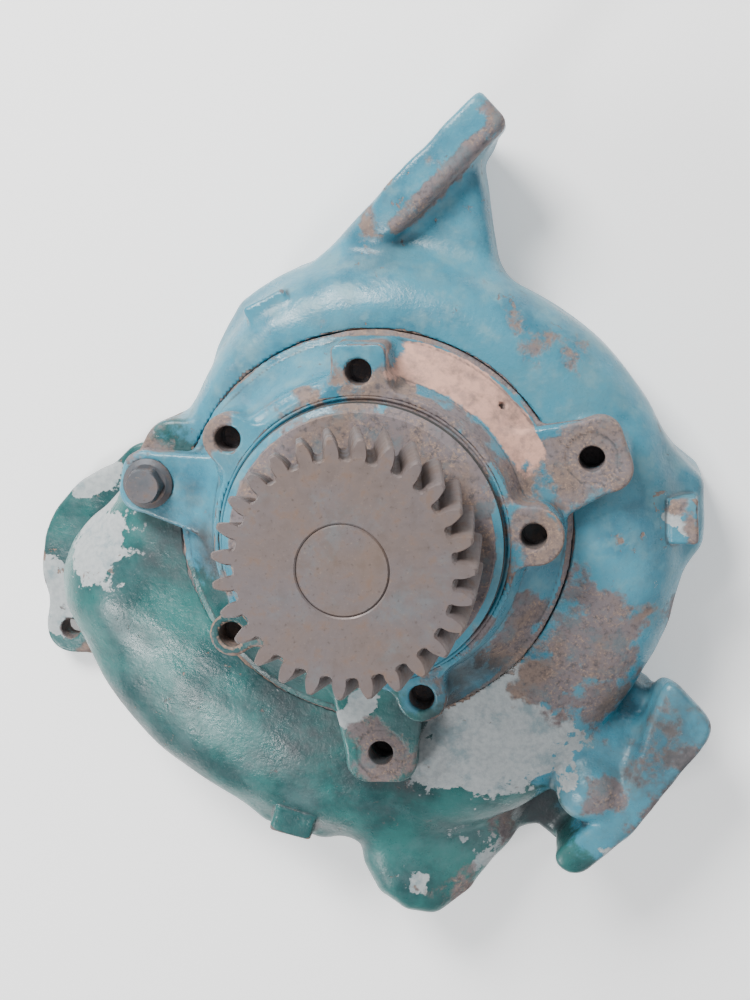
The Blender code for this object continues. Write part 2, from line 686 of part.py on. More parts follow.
def front_roller_bearing():
    low, high = FRONT_BEARING_Z
    middle = (low + high) / 2
    turned("front_bearing_inner_race", section_rectangle(17.5 + FIT, 21.4, low, high), 28, STEEL_BRIGHT)
    track, rib = FRONT_PITCH_R + ROLLER_R + FIT, 25.9
    turned("front_bearing_outer_race",
           [(rib, low), (rib, middle - 4.9), (track, middle - 4.9), (track, middle + 4.9),
            (rib, middle + 4.9), (rib, high), (31, high), (31, low)], 28, STEEL_BRIGHT)
    cage = turned("front_bearing_cage", section_rectangle(23.3, 25.3, middle - 5.9, middle + 5.9), 24, BRASS)
    for i in range(ROLLERS):
        spot = polar(FRONT_PITCH_R, 360 * i / ROLLERS)
        cylinder(f"front_bearing_roller_{i + 1}", ROLLER_R, middle - 4.5, middle + 4.5, spot, 10, STEEL_BRIGHT)
        cut(cage, cylinder(f"roller_pocket_{i + 1}", ROLLER_R + FIT, middle - 4.9, middle + 4.9, spot, 8))


def bearing_retainers():
    turned("bearing_spacer", section_rectangle(15 + FIT, 19.2, REAR_BEARING_Z[1] + FIT, 89.6), 24, STEEL_BRIGHT)
    gap = 14
    outline = arc(33.1, gap, 360 - gap, 24) + arc(29.8, 360 - gap, gap, 24)
    clip = prism("bearing_circlip", outline, 103.35, 104.75, STEEL_BRIGHT)
    for i, side in enumerate((-1, 1)):
        centre = polar(29.5, side * (gap + 2.5))
        join(clip, cylinder(f"circlip_eye_{i + 1}", 2.6, 103.4, 104.7, centre, 12))
        cut(clip, cylinder(f"circlip_eye_hole_{i + 1}", 1.1, 100, 108, polar(29.0, side * (gap + 2.5)), 8))


# ---------------------------------------------------------------- seals
def oil_seal():
    turned("oil_lip_seal",
           [(20, 68.8), (20, 73.4), (18.2, 73.4), (18.2, 70.2), (14.6, 70.2), (13.9, 73.2), (12.8, 73.2),
            (12.8, 72.4), (13.3, 68.8)], 24, RUBBER)
    turned("oil_seal_garter_spring", torus_section(15.35, 0.6, 72.4, 5), 24, STEEL_BRIGHT)


def mechanical_seal():
    turned("seal_seat_cup",
           [(12.8, 50.9), (12.8, 51.9), (15.5, 51.9), (15.5, 54.0), (16.8, 54.0), (16.8, 50.9)], 24, RUBBER)
    turned("seal_seat_ring", section_rectangle(12.8, 15.2, 52.2, 54.4), 24, CERAMIC)
    turned("seal_carbon_ring", [(13.1, 54.7), (13.1, 58.4), (15.6, 58.4), (15.6, 56.0), (14.7, 54.7)], 24, CARBON)
    turned("seal_bellows",
           [(13.1, 58.7), (13.1, 62.0), (14.9, 63.2), (18.6, 63.2), (18.6, 62.6), (15.4, 62.6),
            (14.1, 61.0), (14.1, 59.4), (17.8, 59.4), (17.8, 58.7)], 20, RUBBER)
    turned("seal_case",
           [(14.6, 63.6), (14.6, 64.2), (20, 64.2), (20, 53.4), (19.2, 53.4), (19.2, 63.6)], 24, BRASS)
    seal_spring()


def seal_spring():
    turns, steps, low, high, radius, wire = 3, 10, 60.1, 61.9, 16.9, 0.35
    curve = bpy.data.curves.new("seal_spring", "CURVE")
    curve.dimensions = "3D"
    curve.bevel_depth = wire * MM
    curve.bevel_resolution = 1
    curve.use_fill_caps = True
    spline = curve.splines.new("POLY")
    count = turns * steps
    spline.points.add(count)
    for i in range(count + 1):
        x, y = polar(radius, 360 * i / steps)
        spline.points[i].co = (x * MM, y * MM, (low + (high - low) * i / count) * MM, 1)
    curve.materials.append(STEEL_BRIGHT)
    PUMP.objects.link(bpy.data.objects.new("seal_spring", curve))


def o_rings():
    turned("collar_o_ring", torus_section(56.65, 1.45, 101.6, 5), 40, RUBBER)
    turned("housing_o_ring", torus_section(78.75, 1.0, 55.2, 5), 40, RUBBER)


# ---------------------------------------------------------------- assembly
def shade_smooth():
    for obj in PUMP.objects:
        if obj.type == "MESH":
            obj.data.shade_smooth()
            obj.data.set_sharp_from_angle(angle=math.radians(35))


def group_under_empties():
    """Fixed pieces and turning pieces each hang under an empty; each bearing's cage has one too."""
    rotor = ("drive_gear", "pump_shaft", "impeller", "seal_seat", "bearing_spacer",
             "front_bearing_inner", "rear_bearing_inner")
    front_cage = ("front_bearing_cage", "front_bearing_roller")
    rear_cage = ("rear_bearing_cage", "rear_bearing_ball")
    empties = {}
    for name in ("housing", "rotor", "front_cage", "rear_cage"):
        empties[name] = bpy.data.objects.new(name, None)
        bpy.context.scene.collection.objects.link(empties[name])
    for obj in PUMP.objects:
        owner = "housing"
        for group, starts in (("rotor", rotor), ("front_cage", front_cage), ("rear_cage", rear_cage)):
            if obj.name.startswith(starts):
                owner = group
        obj.parent = empties[owner]


def build_pump():
    volute_housing()
    bearing_housing()
    rear_cover()
    rear_cover_gasket()
    cover_bolts()
    ear_bolt()
    drive_gear()
    pump_shaft()
    impeller_key()
    impeller()
    impeller_fasteners()
    rear_ball_bearing()
    front_roller_bearing()
    bearing_retainers()
    oil_seal()
    mechanical_seal()
    o_rings()
    shade_smooth()
    group_under_empties()


build_pump()
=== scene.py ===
"""Looks for the gear-driven coolant pump: castings with fillets, a helical gear, worn paint and rust.

Lengths in the shape functions are in millimetres and angles in degrees, in the CAD model's frame:
+Z is the shaft axis, towards the gear. Everything is turned into metres when a mesh is made.
The two castings are signed distance fields, negative inside the metal. The last number of a blend
or a carve is the radius of its fillet.
"""

import json
import math

import bmesh
import bpy
import numpy as np
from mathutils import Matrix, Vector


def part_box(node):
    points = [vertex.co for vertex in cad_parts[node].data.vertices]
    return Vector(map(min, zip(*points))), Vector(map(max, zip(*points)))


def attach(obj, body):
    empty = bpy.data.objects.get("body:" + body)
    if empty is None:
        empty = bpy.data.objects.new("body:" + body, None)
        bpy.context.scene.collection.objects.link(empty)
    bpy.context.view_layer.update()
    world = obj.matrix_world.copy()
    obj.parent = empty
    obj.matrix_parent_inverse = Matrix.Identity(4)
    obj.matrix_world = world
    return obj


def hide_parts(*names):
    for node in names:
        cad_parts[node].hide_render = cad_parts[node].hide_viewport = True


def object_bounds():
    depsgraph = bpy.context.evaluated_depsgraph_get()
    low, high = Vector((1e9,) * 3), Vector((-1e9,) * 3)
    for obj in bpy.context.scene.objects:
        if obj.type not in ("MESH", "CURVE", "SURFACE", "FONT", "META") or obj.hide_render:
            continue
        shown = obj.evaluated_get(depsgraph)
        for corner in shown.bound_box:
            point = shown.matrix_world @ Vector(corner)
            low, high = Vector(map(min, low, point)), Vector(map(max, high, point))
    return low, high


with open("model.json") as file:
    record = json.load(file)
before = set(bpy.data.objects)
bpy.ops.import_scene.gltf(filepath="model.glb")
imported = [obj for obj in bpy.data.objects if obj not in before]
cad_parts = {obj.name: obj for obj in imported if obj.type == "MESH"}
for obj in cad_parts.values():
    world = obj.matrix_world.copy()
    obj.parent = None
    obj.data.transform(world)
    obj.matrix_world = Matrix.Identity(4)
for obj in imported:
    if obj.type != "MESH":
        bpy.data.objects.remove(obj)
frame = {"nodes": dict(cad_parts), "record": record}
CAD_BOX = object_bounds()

import openvdb
from mathutils import Matrix, Vector

MM = 0.001
NODES = frame["nodes"]


def top_of(node):
    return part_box(node)[1].z / MM


# ---------------------------------------------------------------- the CAD model's driving dimensions
GEAR_FACE_Z = top_of("drive_gear")
SEAM_Z = top_of("volute_housing")
COLLAR_TOP_Z = top_of("bearing_housing")
FLANGE_Z = COLLAR_TOP_Z - 7.5
SEAM_R, SPIGOT_R, COLLAR_R = 84.0, 79.6, 57.6
# Ears as angle, half-width and reach past the hole; bosses as angle and half-width.
EARS = ((18.4, 16.0, 15.0), (167.5, 13.5, 12.5), (271.2, 15.5, 13.5))
EAR_ANGLES = tuple(angle for angle, _, _ in EARS)
EAR_R, EAR_TOP_Z = 97.5, 79.0
BOSSES = ((2, 12.2), (90, 11.2), (142, 10.5), (215, 9.2), (289, 10.5))
BOSS_R = 69.5
HOLE_R = 5.3
TEETH, MODULE, PRESSURE_ANGLE, GEAR_WIDTH, HELIX_TWIST = 27, 3.5, 20, 31.5, 8.1
PITCH_R = MODULE * TEETH / 2
SHAFT_R = 17.9
COVER_SEAT_Z, COVER_R, COVER_BOLTS = 15.0, 92.0, 8
# The outlet's pipe, its flange and the two bolt holes of the flange.
OUTLET, OUTLET_FLANGE = (-119.0, -30.0), (-121.0, -31.0)
OUTLET_HOLES = ((-158.5, -62.0), (-116.0, 17.0))
# The side inlet and the top inlet: direction, face, place across that direction and height.
PORT_ANGLE, PORT_FACE, PORT_OFFSET, PORT_Z = -36.7, 171.0, -33.0, 31.0
TOP_ANGLE, TOP_FACE, TOP_CENTRE, TOP_Z = 133.1, 99.5, -118.0, 32.0
TOP_TAPPED_HOLES = (-145.5, -98)
# Side pads as angle, distance out from the volute's edge and height of the raised box.
PADS = ((115.3, 1.0, 63.0), (0.3, 10.0, 57.5), (-106.8, 6.0, 57.0))
# Seen from above: the lower lug, the web between it and the side inlet, and the inlet's neck.
LUG = (
    (-18, -120), (-14, -150), (-12, -164), (-6, -178), (6, -187), (20, -188), (36, -177),
    (53, -155), (64, -120),
)
LUG_HOLE = (20, -162)
ARCH = ((30, -118), (48, -160), (58, -152), (67, -151), (76, -158), (100, -112))
TOP_NECK = ((2, 129), (-24, 112), (-10, 88), (55, 88), (46, 152), (49, 166))
# The ball-shaped boss: both ends of its middle line and the radius at each.
BALL_BOSS = ((85, -110, 42), (91.5, -121, 49.5), 13, 15.8)
# The volute's edge seen from above, as angle and radius.
OUTLINE = (
    (150, 97), (132, 102), (115, 111), (90, 116), (60, 117), (20, 127), (-18, 133), (-40, 135),
    (-60, 145), (-90, 150), (-120, 151), (-145, 153), (-162, 147), (-180, 128), (-195, 107),
)


# ---------------------------------------------------------------- distance fields
def smooth_min(a, b, fillet):
    share = np.clip(0.5 + 0.5 * (b - a) / fillet, 0, 1)
    return b + (a - b) * share - fillet * share * (1 - share)


def smooth_max(a, b, fillet):
    return -smooth_min(-a, -b, fillet)


def carve(solid, hole, fillet=0.8):
    return smooth_max(solid, -hole, fillet)


def turned(x, y, angle):
    """Coordinates along and across a direction about the shaft axis."""
    c, s = math.cos(math.radians(angle)), math.sin(math.radians(angle))
    return x * c + y * s, y * c - x * s


def spot(radius, angle):
    return radius * math.cos(math.radians(angle)), radius * math.sin(math.radians(angle))


def between(value, low, high):
    return np.maximum(low - value, value - high)


def disc(x, y, centre, radius):
    return np.hypot(x - centre[0], y - centre[1]) - radius


def capsule(x, y, z, a, b, radius_a, radius_b=None):
    """A rod with round ends, from one radius to the other."""
    radius_b = radius_a if radius_b is None else radius_b
    d = [q - p for p, q in zip(a, b)]
    t = ((x - a[0]) * d[0] + (y - a[1]) * d[1] + (z - a[2]) * d[2]) / sum(v * v for v in d)
    t = np.clip(t, 0, 1)
    offsets = (x - a[0] - t * d[0], y - a[1] - t * d[1], z - a[2] - t * d[2])
    return np.sqrt(sum(offset**2 for offset in offsets)) - radius_a - (radius_b - radius_a) * t


def block(corner, *sides):
    """Box, or a flat outline, with rounded corners; each side is (coordinate, low, high)."""
    far = [np.abs(value - (low + high) / 2) - (high - low) / 2 + corner for value, low, high in sides]
    outside = np.sqrt(sum(np.maximum(value, 0) ** 2 for value in far))
    return outside + np.minimum(np.max(np.broadcast_arrays(*far), 0), 0) - corner


def polygon(x, y, points):
    """Signed distance to a closed outline."""
    nearest = np.full(np.shape(x), 1e9, np.float32)
    inside = np.zeros(np.shape(x), bool)
    for (ax, ay), (bx, by) in zip(points, points[1:] + points[:1]):
        ex, ey, wx, wy = bx - ax, by - ay, x - ax, y - ay
        t = np.clip((wx * ex + wy * ey) / (ex * ex + ey * ey), 0, 1)
        nearest = np.minimum(nearest, (wx - t * ex) ** 2 + (wy - t * ey) ** 2)
        crosses = ((ay > y) != (by > y)) & (x < ex * (y - ay) / (ey or 1e-9) + ax)
        inside ^= crosses
    return np.sqrt(nearest) * np.where(inside, -1, 1)


def rounded(x, y, points, corner):
    """A closed outline with rounded corners: the outline is moved in and grown by as much."""
    following = points[1:] + points[:1]
    area = sum(ax * by - bx * ay for (ax, ay), (bx, by) in zip(points, following))
    shift = math.copysign(corner, area)
    moved = []
    for before, point, after in zip(points[-1:] + points[:-1], points, following):
        u = Vector(point) - Vector(before)
        v = Vector(after) - Vector(point)
        u.normalize()
        v.normalize()
        share = shift / (1 + u.dot(v))
        moved.append((point[0] - share * (u.y + v.y), point[1] + share * (u.x + v.x)))
    return polygon(x, y, moved) - corner


def outline_table():
    """The volute's radius at each degree: a Catmull-Rom curve through OUTLINE."""
    count = len(OUTLINE)
    stops = [(OUTLINE[0][0] - a) % 360 for a, _ in OUTLINE] + [360]
    angles, radii = [], []
    for i in range(count):
        r = [OUTLINE[(i + k) % count][1] for k in (-1, 0, 1, 2)]
        steps = int(stops[i + 1] - stops[i])
        for step in range(steps):
            t = step / steps
            value = 0.5 * (2 * r[1] + (r[2] - r[0]) * t
                           + (2 * r[0] - 5 * r[1] + 4 * r[2] - r[3]) * t**2
                           + (3 * r[1] - r[0] - 3 * r[2] + r[3]) * t**3)
            angles.append((OUTLINE[0][0] - stops[i] - step) % 360)
            radii.append(value)
    order = np.argsort(angles)
    return np.array(angles)[order], np.array(radii)[order]


OUTLINE_ANGLES, OUTLINE_RADII = outline_table()


def outline_radius(x, y):
    angle = np.degrees(np.arctan2(y, x)) % 360
    return np.interp(angle, OUTLINE_ANGLES, OUTLINE_RADII, period=360)


def waviness(x, y, z):
    """Slow unevenness of a sand casting."""
    return (0.35 * np.sin(x / 9.1 + 1.3 * np.sin(y / 13)) * np.sin(y / 7.7 + z / 11)
            + 0.18 * np.sin(x / 4.3 + y / 5.9) * np.sin(z / 4.1 - y / 6.3))


# ---------------------------------------------------------------- volute casting
# The dome is a quarter ellipse from the rim, at the seam, down to the shoulder at the edge.
SHOULDER_Z, RIM_R = 42.0, 88.0
# Turned cavities as radius, low and high: impeller, eye and suction chamber.
CAVITIES = ((69, 34, 56), (31, 25, 40), (74, 5, 29))
# The two flat passages from the inlets to the suction chamber share their height.
PASSAGE_Z = (20, 28.5)
OUTLET_PIPE_R, OUTLET_BORE_R, OUTLET_HOLE_R = 31.5, 21, 4.6
OUTLET_FLANGE_R, OUTLET_EAR_R, OUTLET_FLANGE_TOP_Z = 50, 11.5, 13
PORT_BORE_R, PORT_BORE_END, PORT_TOP_Z = 23, 146, 60
TOP_BORE_R, TOP_BORE_DEPTH, TOP_TAPPED_R, TOP_TAPPED_DEPTH, TOP_PLATE_Z = 10.5, 22, 4.5, 14, 60
EAR_HOLE_END_Z = 60
# Blind holes from behind, in the pads and the lug and under the cover's bolts.
REAR_HOLE_R, REAR_HOLE_END_Z = 4.3, 22
COVER_HOLE_R, COVER_HOLE_END_Z = 4.2, 28
SCROLL_START_ANGLE, SCROLL_SWEEP, SCROLL_WALL = 140, 306, 9


def volute_dome(x, y, z):
    r, edge = np.hypot(x, y), outline_radius(x, y)
    width, rise = np.maximum(edge - RIM_R, 8), SEAM_Z - SHOULDER_Z
    u = np.maximum((r - RIM_R) / width, 0)
    w = np.maximum((z - SHOULDER_Z) / rise, 0)
    q = np.hypot(u, w) + 1e-6
    steepness = np.sqrt((u / q / width) ** 2 + (w / q / rise) ** 2) + 1e-3
    dome = (q - 1) / steepness
    under = 4 + 20 * np.clip((r - 99) / np.maximum(edge - 99, 10), 0, 1)
    return smooth_max(dome, (under - z) * 0.9, 6)


def outlet_elbow(x, y, z):
    pipe = capsule(x, y, z, (*OUTLET, -20), (*OUTLET, 33), OUTLET_PIPE_R)
    flange = disc(x, y, OUTLET_FLANGE, OUTLET_FLANGE_R)
    for hole in OUTLET_HOLES:
        flange = smooth_min(flange, disc(x, y, hole, OUTLET_EAR_R), 12)
    return pipe, smooth_max(flange, between(z, -6, OUTLET_FLANGE_TOP_Z), 2)


def side_inlet(x, y, z):
    """The thick flange with its tapering back, the neck behind it and the web beside the neck."""
    along, across = turned(x, y, PORT_ANGLE)
    back = np.interp(across, (-76, -48, -34, -2, 18), (150, 156, 158, 146, 140))
    face = along - PORT_FACE
    flange = smooth_max(face, 0.966 * face - 0.26 * (across + 58), 6)
    flange = smooth_max(flange, back - along, 6)
    upper = across + 0.22 * (along - 138) - 22
    flange = smooth_max(smooth_max(flange, upper, 9), -79 - across, 9)
    flange = smooth_max(flange, between(z, 2, PORT_TOP_Z), 4)
    flange = smooth_max(flange, 0.865 * upper - 0.5 * (z - 46), 6)
    web = block(4, (along, 100, 146), (across, -44, 5), (z, 9, 36))
    neck_r = 23.5 + 3 * np.clip((along - 110) / 35, 0, 1)
    neck = np.hypot(across - PORT_OFFSET, z - PORT_Z + 1) - neck_r
    neck = smooth_max(neck, between(along, 80, PORT_FACE - 4), 4)
    return smooth_min(smooth_min(flange, neck, 9), web, 5)


def top_inlet(x, y, z):
    """The upright plate, cut down towards its lower end and at its upper corner, and its neck."""
    out, along = turned(x, y, TOP_ANGLE)
    plate = block(
        5, (out, TOP_FACE - 18, TOP_FACE + 9), (along, -157.5, -50), (z, 4, TOP_PLATE_Z))
    plate = smooth_max(plate, out - TOP_FACE, 2.5)
    plate = smooth_max(plate, 0.857 * (z - TOP_PLATE_Z) + 0.514 * (along + 95), 8)
    plate = smooth_max(plate, 0.93 * (-along - 157) - 0.37 * (z - 38), 6)
    neck = smooth_max(rounded(x, y, TOP_NECK, 2), between(z, 12, 46.5), 9)
    return smooth_min(plate, smooth_max(neck, out - TOP_FACE + 3, 2), 6)


def pad_edge(angle):
    return float(outline_radius(*spot(1.0, angle)))


def side_pad(x, y, z, angle, stand, height):
    """The raised box of a side pad, and the flare that carries it."""
    along, across = turned(x, y, angle)
    edge = pad_edge(angle)
    box_along = (along, edge + stand - 16, edge + stand - 4)
    box = block(1.5, box_along, (across, -10, 9.5), (z, 20, height))
    flare = [(edge - 26, -46), (edge + stand, -15), (edge + stand, 15), (edge - 26, 46)]
    return box, smooth_max(rounded(along, across, flare, 9), between(z, -9, 44), 8)


def volute_outside(x, y, z):
    body = volute_dome(x, y, z)
    pipe, plate = outlet_elbow(x, y, z)
    body = smooth_min(smooth_min(body, pipe, 14), plate, 4)
    web = smooth_max(rounded(x, y, ARCH, 1.5), between(z, -14, 27), 6)
    body = smooth_min(body, web, 8)
    body = smooth_min(body, side_inlet(x, y, z), 4)
    body = smooth_min(body, capsule(x, y, z, *BALL_BOSS), 3)
    body = smooth_min(body, top_inlet(x, y, z), 9)
    lug = smooth_max(rounded(x, y, LUG, 9), between(z, -14, 51), 16) - 0.8
    lug = smooth_max(lug, (x - 12) * 0.42 + z - 52, 8)
    body = smooth_min(body, lug, 9)
    for angle, stand, height in PADS:
        box, flare = side_pad(x, y, z, angle, stand, height)
        body = smooth_min(smooth_min(body, flare, 9), box, 1.5)
    for angle, half, _ in EARS:
        seat = smooth_max(disc(x, y, spot(EAR_R, angle), half - 1.0), between(z, 30, SEAM_Z), 1)
        body = smooth_min(body, seat, 4)
    corner = disc(x, y, spot(EAR_R - 6, EAR_ANGLES[1] - 8), 15)
    body = smooth_min(body, smooth_max(corner, between(z, 28, SEAM_Z - 1), 3), 5)
    return smooth_max(body + waviness(x, y, z), z - SEAM_Z, 1.0)


def scroll(x, y, z):
    """The water passage that grows clockwise round the impeller."""
    r = np.hypot(x, y)
    behind = (SCROLL_START_ANGLE - np.degrees(np.arctan2(y, x))) % 360
    passage = smooth_max(r - outline_radius(x, y) + SCROLL_WALL, between(z, 34, 50), 10)
    return smooth_max(passage, np.where(behind < SCROLL_SWEEP, -50.0, 6.0), 2)


def drilled(x, y, centre, radius, end):
    """A round hole along Z; end is a field that is negative on the open side of its bottom."""
    return np.maximum(disc(x, y, centre, radius), end)


def volute_field(x, y, z):
    r = np.hypot(x, y)
    body = smooth_max(volute_outside(x, y, z), -z, 1.2)
    # The seam round the bearing housing is open, and nearly shut under the thick green paint.
    shut = np.clip((-0.45 * x - 0.9 * y - 40) / 25, 0, 1)
    body = carve(body, np.maximum(r - SEAM_R - 0.30 + 0.22 * shut, 58.0 - z), 0.7)
    body = carve(body, np.maximum(r - SPIGOT_R - 0.4, 51 - z))
    for radius, low, high in CAVITIES:
        body = carve(body, np.maximum(r - radius, between(z, low, high)))
    body = carve(body, np.maximum(r - COVER_R - 1.2, z - COVER_SEAT_Z))
    body = carve(body, scroll(x, y, z), 3)
    body = carve(body, drilled(x, y, OUTLET, OUTLET_BORE_R, z - 48), 2)

    along, across = turned(x, y, PORT_ANGLE)
    bore = np.hypot(across - PORT_OFFSET, z - PORT_Z) - PORT_BORE_R
    body = carve(body, np.maximum(bore, PORT_BORE_END - along), 2)
    passage_across = (across, PORT_OFFSET - 14, PORT_OFFSET + 14)
    body = carve(body, block(3, (along, 62, 150), passage_across, (z, *PASSAGE_Z)), 3)

    out, aside = turned(x, y, TOP_ANGLE)
    bore = np.hypot(aside - TOP_CENTRE, z - TOP_Z + 1) - TOP_BORE_R
    body = carve(body, np.maximum(bore, TOP_FACE - TOP_BORE_DEPTH - out), 1.5)
    body = carve(body, block(3, (x, 22, 42), (y, 118, 142), (z, 18, TOP_Z + 4)), 3)
    body = carve(body, block(3, (x, 22, 42), (y, 60, 124), (z, *PASSAGE_Z)), 3)
    for centre in TOP_TAPPED_HOLES:
        hole = np.hypot(aside - centre, z - TOP_Z) - TOP_TAPPED_R
        body = carve(body, np.maximum(hole, TOP_FACE - TOP_TAPPED_DEPTH - out))

    for centre in OUTLET_HOLES:
        body = carve(body, disc(x, y, centre, OUTLET_HOLE_R))
    for angle in EAR_ANGLES:
        body = carve(body, drilled(x, y, spot(EAR_R, angle), HOLE_R, EAR_HOLE_END_Z - z))
    for angle, stand, _ in PADS:
        centre = spot(pad_edge(angle) + stand - 10, angle)
        body = carve(body, drilled(x, y, centre, REAR_HOLE_R, z - REAR_HOLE_END_Z))
    for centre in cover_bolt_spots():
        body = carve(body, drilled(x, y, centre, COVER_HOLE_R, z - COVER_HOLE_END_Z))
    return carve(body, drilled(x, y, LUG_HOLE, REAR_HOLE_R, z - REAR_HOLE_END_Z))


def cover_bolt_spots():
    """The middle of each rear cover bolt, from its box in metres."""
    spots = []
    for i in range(COVER_BOLTS):
        low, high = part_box(f"rear_cover_bolt_{i + 1}")
        spots.append((500 * (low.x + high.x), 500 * (low.y + high.y)))
    return spots


# ---------------------------------------------------------------- bearing housing
FACE_INNER_R = 59.9
BOSS_HOLE_END_Z = 86
WEEP_ANGLE = 43
# Half sections as (radius, z): the cast outside, and the machined bores, collar and O-ring groove.
HOUSING_OUTSIDE = [
    (50, 53), (50, FLANGE_Z), (62.4, FLANGE_Z), (63.4, 93), (66.5, 84), (78.0, 73.0), (80.8, 70.4),
    (SEAM_R, SEAM_Z + 1.6), (SEAM_R, 58.4), (SPIGOT_R, 58.4), (SPIGOT_R, 53),
]
HOUSING_CORE = [
    (20.3, 52), (20.3, 64.5), (14, 64.5), (14, 68.5), (20.3, 68.5), (20.3, 73.7), (27.8, 73.7),
    (27.8, 89.7), (31.3, 89.7), (31.3, 103.2), (33.4, 103.2), (33.4, 104.9), (31.3, 104.9),
    (31.3, COLLAR_TOP_Z - 0.6), (31.9, COLLAR_TOP_Z), (44, COLLAR_TOP_Z), (54.0, COLLAR_TOP_Z),
    (54.6, COLLAR_TOP_Z - 0.5), (56.2, COLLAR_TOP_Z - 1.1),
    (COLLAR_R, 103.9), (COLLAR_R, 103.3), (57.3, 103.1), (55, 103.1), (55, 100), (57.3, 100),
    (COLLAR_R, 99.8), (COLLAR_R, FLANGE_Z - 1.3), (58.6, FLANGE_Z - 1.3), (58.8, FLANGE_Z - 0.4),
    (59.3, FLANGE_Z - 0.03), (60.0, FLANGE_Z - 0.03), (60.0, FLANGE_Z - 4), (53, FLANGE_Z - 6),
    (53, 52),
]


def housing_field(x, y, z):
    r = np.hypot(x, y)
    cone = polygon(r, z, HOUSING_OUTSIDE) + 0.6 * waviness(x, y, z)
    for angle, half in BOSSES:
        along, across = turned(x, y, angle)
        # Only the boss at the top is square in plan.
        corner = 3.5 if angle == 90 else half - 0.2
        plan = block(corner, (along, 45, BOSS_R + half), (across, -half, half))
        cone = smooth_min(cone, smooth_max(plan, between(z, 60, FLANGE_Z), 1.0), 6)
    web = smooth_max(r - 68, between(z, 60, FLANGE_Z - 2.6), 3)
    cone = smooth_min(cone, smooth_max(web, 52 - turned(x, y, 118)[0], 6), 5)
    for angle, half, reach in EARS:
        along, across = turned(x, y, angle)
        # Each ear widens from its hole towards the cone.
        across = across / (1 + 0.012 * np.clip(EAR_R - along, 0, 40))
        plan = block(9.5, (along, 40, EAR_R + reach), (across, -half, half))
        cone = smooth_min(cone, smooth_max(plan, between(z, 60, EAR_TOP_Z), 2.0), 3)
    cone = smooth_max(cone, z - FLANGE_Z, 0.7)
    cone = carve(cone, np.maximum(SEAM_R + 0.2 - r, z - SEAM_Z - 0.4), 0.8)
    cone = smooth_max(cone, FACE_INNER_R - r, 0.3)
    for angle in EAR_ANGLES:
        centre = spot(EAR_R, angle)
        cone = carve(cone, drilled(x, y, centre, 10.9, EAR_TOP_Z - 0.3 - z), 0.6)
        cone = carve(cone, disc(x, y, centre, HOLE_R))
    for angle, _ in BOSSES:
        hole = disc(x, y, spot(BOSS_R, angle), HOLE_R) - np.clip((z - FLANGE_Z + 1) * 0.7, 0, 0.8)
        cone = carve(cone, np.maximum(hole, BOSS_HOLE_END_Z - z), 0.5)
    weep = capsule(x, y, z, (*spot(60, WEEP_ANGLE), 71), (*spot(90, WEEP_ANGLE), 76), 1.5)
    return carve(cone, weep, 0.5)


# ---------------------------------------------------------------- where each coat of paint is left, and where shade is painted
def near(x, y, z, places):
    """The most any place gives: each is x, y, z, radius and its value in the middle.

    The coordinates are bent a little first, so that a place isn't a plain ball.
    """
    x, y = (x + 3.2 * np.sin(y / 4.7 + np.sin(z / 6)),
            y + 3.2 * np.sin(x / 5.3 - 1.4 * np.sin(y / 7)))
    best = np.zeros(np.shape(x))
    for cx, cy, cz, radius, peak in places:
        far = np.sqrt((x - cx) ** 2 + (y - cy) ** 2 + (z - cz) ** 2) / radius
        best = np.maximum(best, peak * (1 - far))
    return best


def ramp(value, low, high):
    return np.clip((value - low) / (high - low), 0, 1)


def most(first, *others):
    for other in others:
        first = np.maximum(first, other)
    return first


def depth_in_holes(x, y, centres, radius):
    """How far inside the nearest of some round holes each point is."""
    inside = np.full(np.shape(x), 99.0)
    for centre in centres:
        inside = np.minimum(inside, disc(x, y, centre, radius))
    return -inside


VOLUTE_PRIMER = (
    # outlet elbow and flange
    (-127, -6, 50, 40, 0.9), (-168, -48, 12, 26, 1), (-140, 12, 12, 16, 1),
    # middle of the dome, below the bearing housing
    (54, -93, 62, 46, 1), (34, -104, 62, 32, 1), (82, -104, 60, 20, 0.55), (84, -113, 60, 15, 0.55),
    (-8, -100, 60, 14, 0.5),
    # lower lug
    (36, -148, 50, 16, 0.62), (16, -166, 48, 16, 0.42), (46, -160, 42, 24, 0.68),
    # lower end of the side inlet, and the right pad
    (97, -146, 56, 15, 0.6), (127, 0, 57, 8, 0.8),
)
VOLUTE_RUST = (
    # right of the dome
    (87, -32, 64, 26, 0.8), (94, -52, 62, 40, 1), (76, -68, 64, 28, 0.9), (96, -80, 58, 30, 0.8),
    (128, -42, 46, 24, 0.7),
    # ball-shaped boss and side inlet
    (97, -122, 64, 20, 0.95), (138, -104, 58, 26, 0.80), (120, -128, 56, 26, 0.82),
    (122, -106, 58, 46, 0.52), (142, -90, 56, 16, 0.66), (104, -146, 54, 18, 0.6),
    (126, -82, 60, 14, 0.5),
    # rim above the bearing housing, and the upper right of the dome
    (-20, 86, 62, 12, 0.66), (-8, 92, 62, 10, 0.6), (54, 84, 62, 18, 0.50), (70, 76, 62, 20, 0.54),
    (86, 68, 60, 18, 0.52), (40, 112, 60, 26, 0.42),
    # top inlet
    (48, 172, 60, 14, 0.6), (30, 148, 60, 14, 0.42), (0, 128, 58, 16, 0.62),
    # seat of the left ear, the pads and the outlet's lower hole
    (-97, 38, 56, 26, 0.9), (130, 4, 58, 9, 0.8), (134, -4, 58, 12, 0.75), (-46, 98, 60, 14, 0.5),
    (-150, -76, 12, 18, 0.9),
    # lower lug and green side
    (-8, -165, 30, 18, 0.8), (34, -174, 38, 24, 0.72), (52, -150, 36, 22, 0.62),
    (20, -140, 60, 14, 0.45), (-60, -100, 58, 18, 0.40),
)
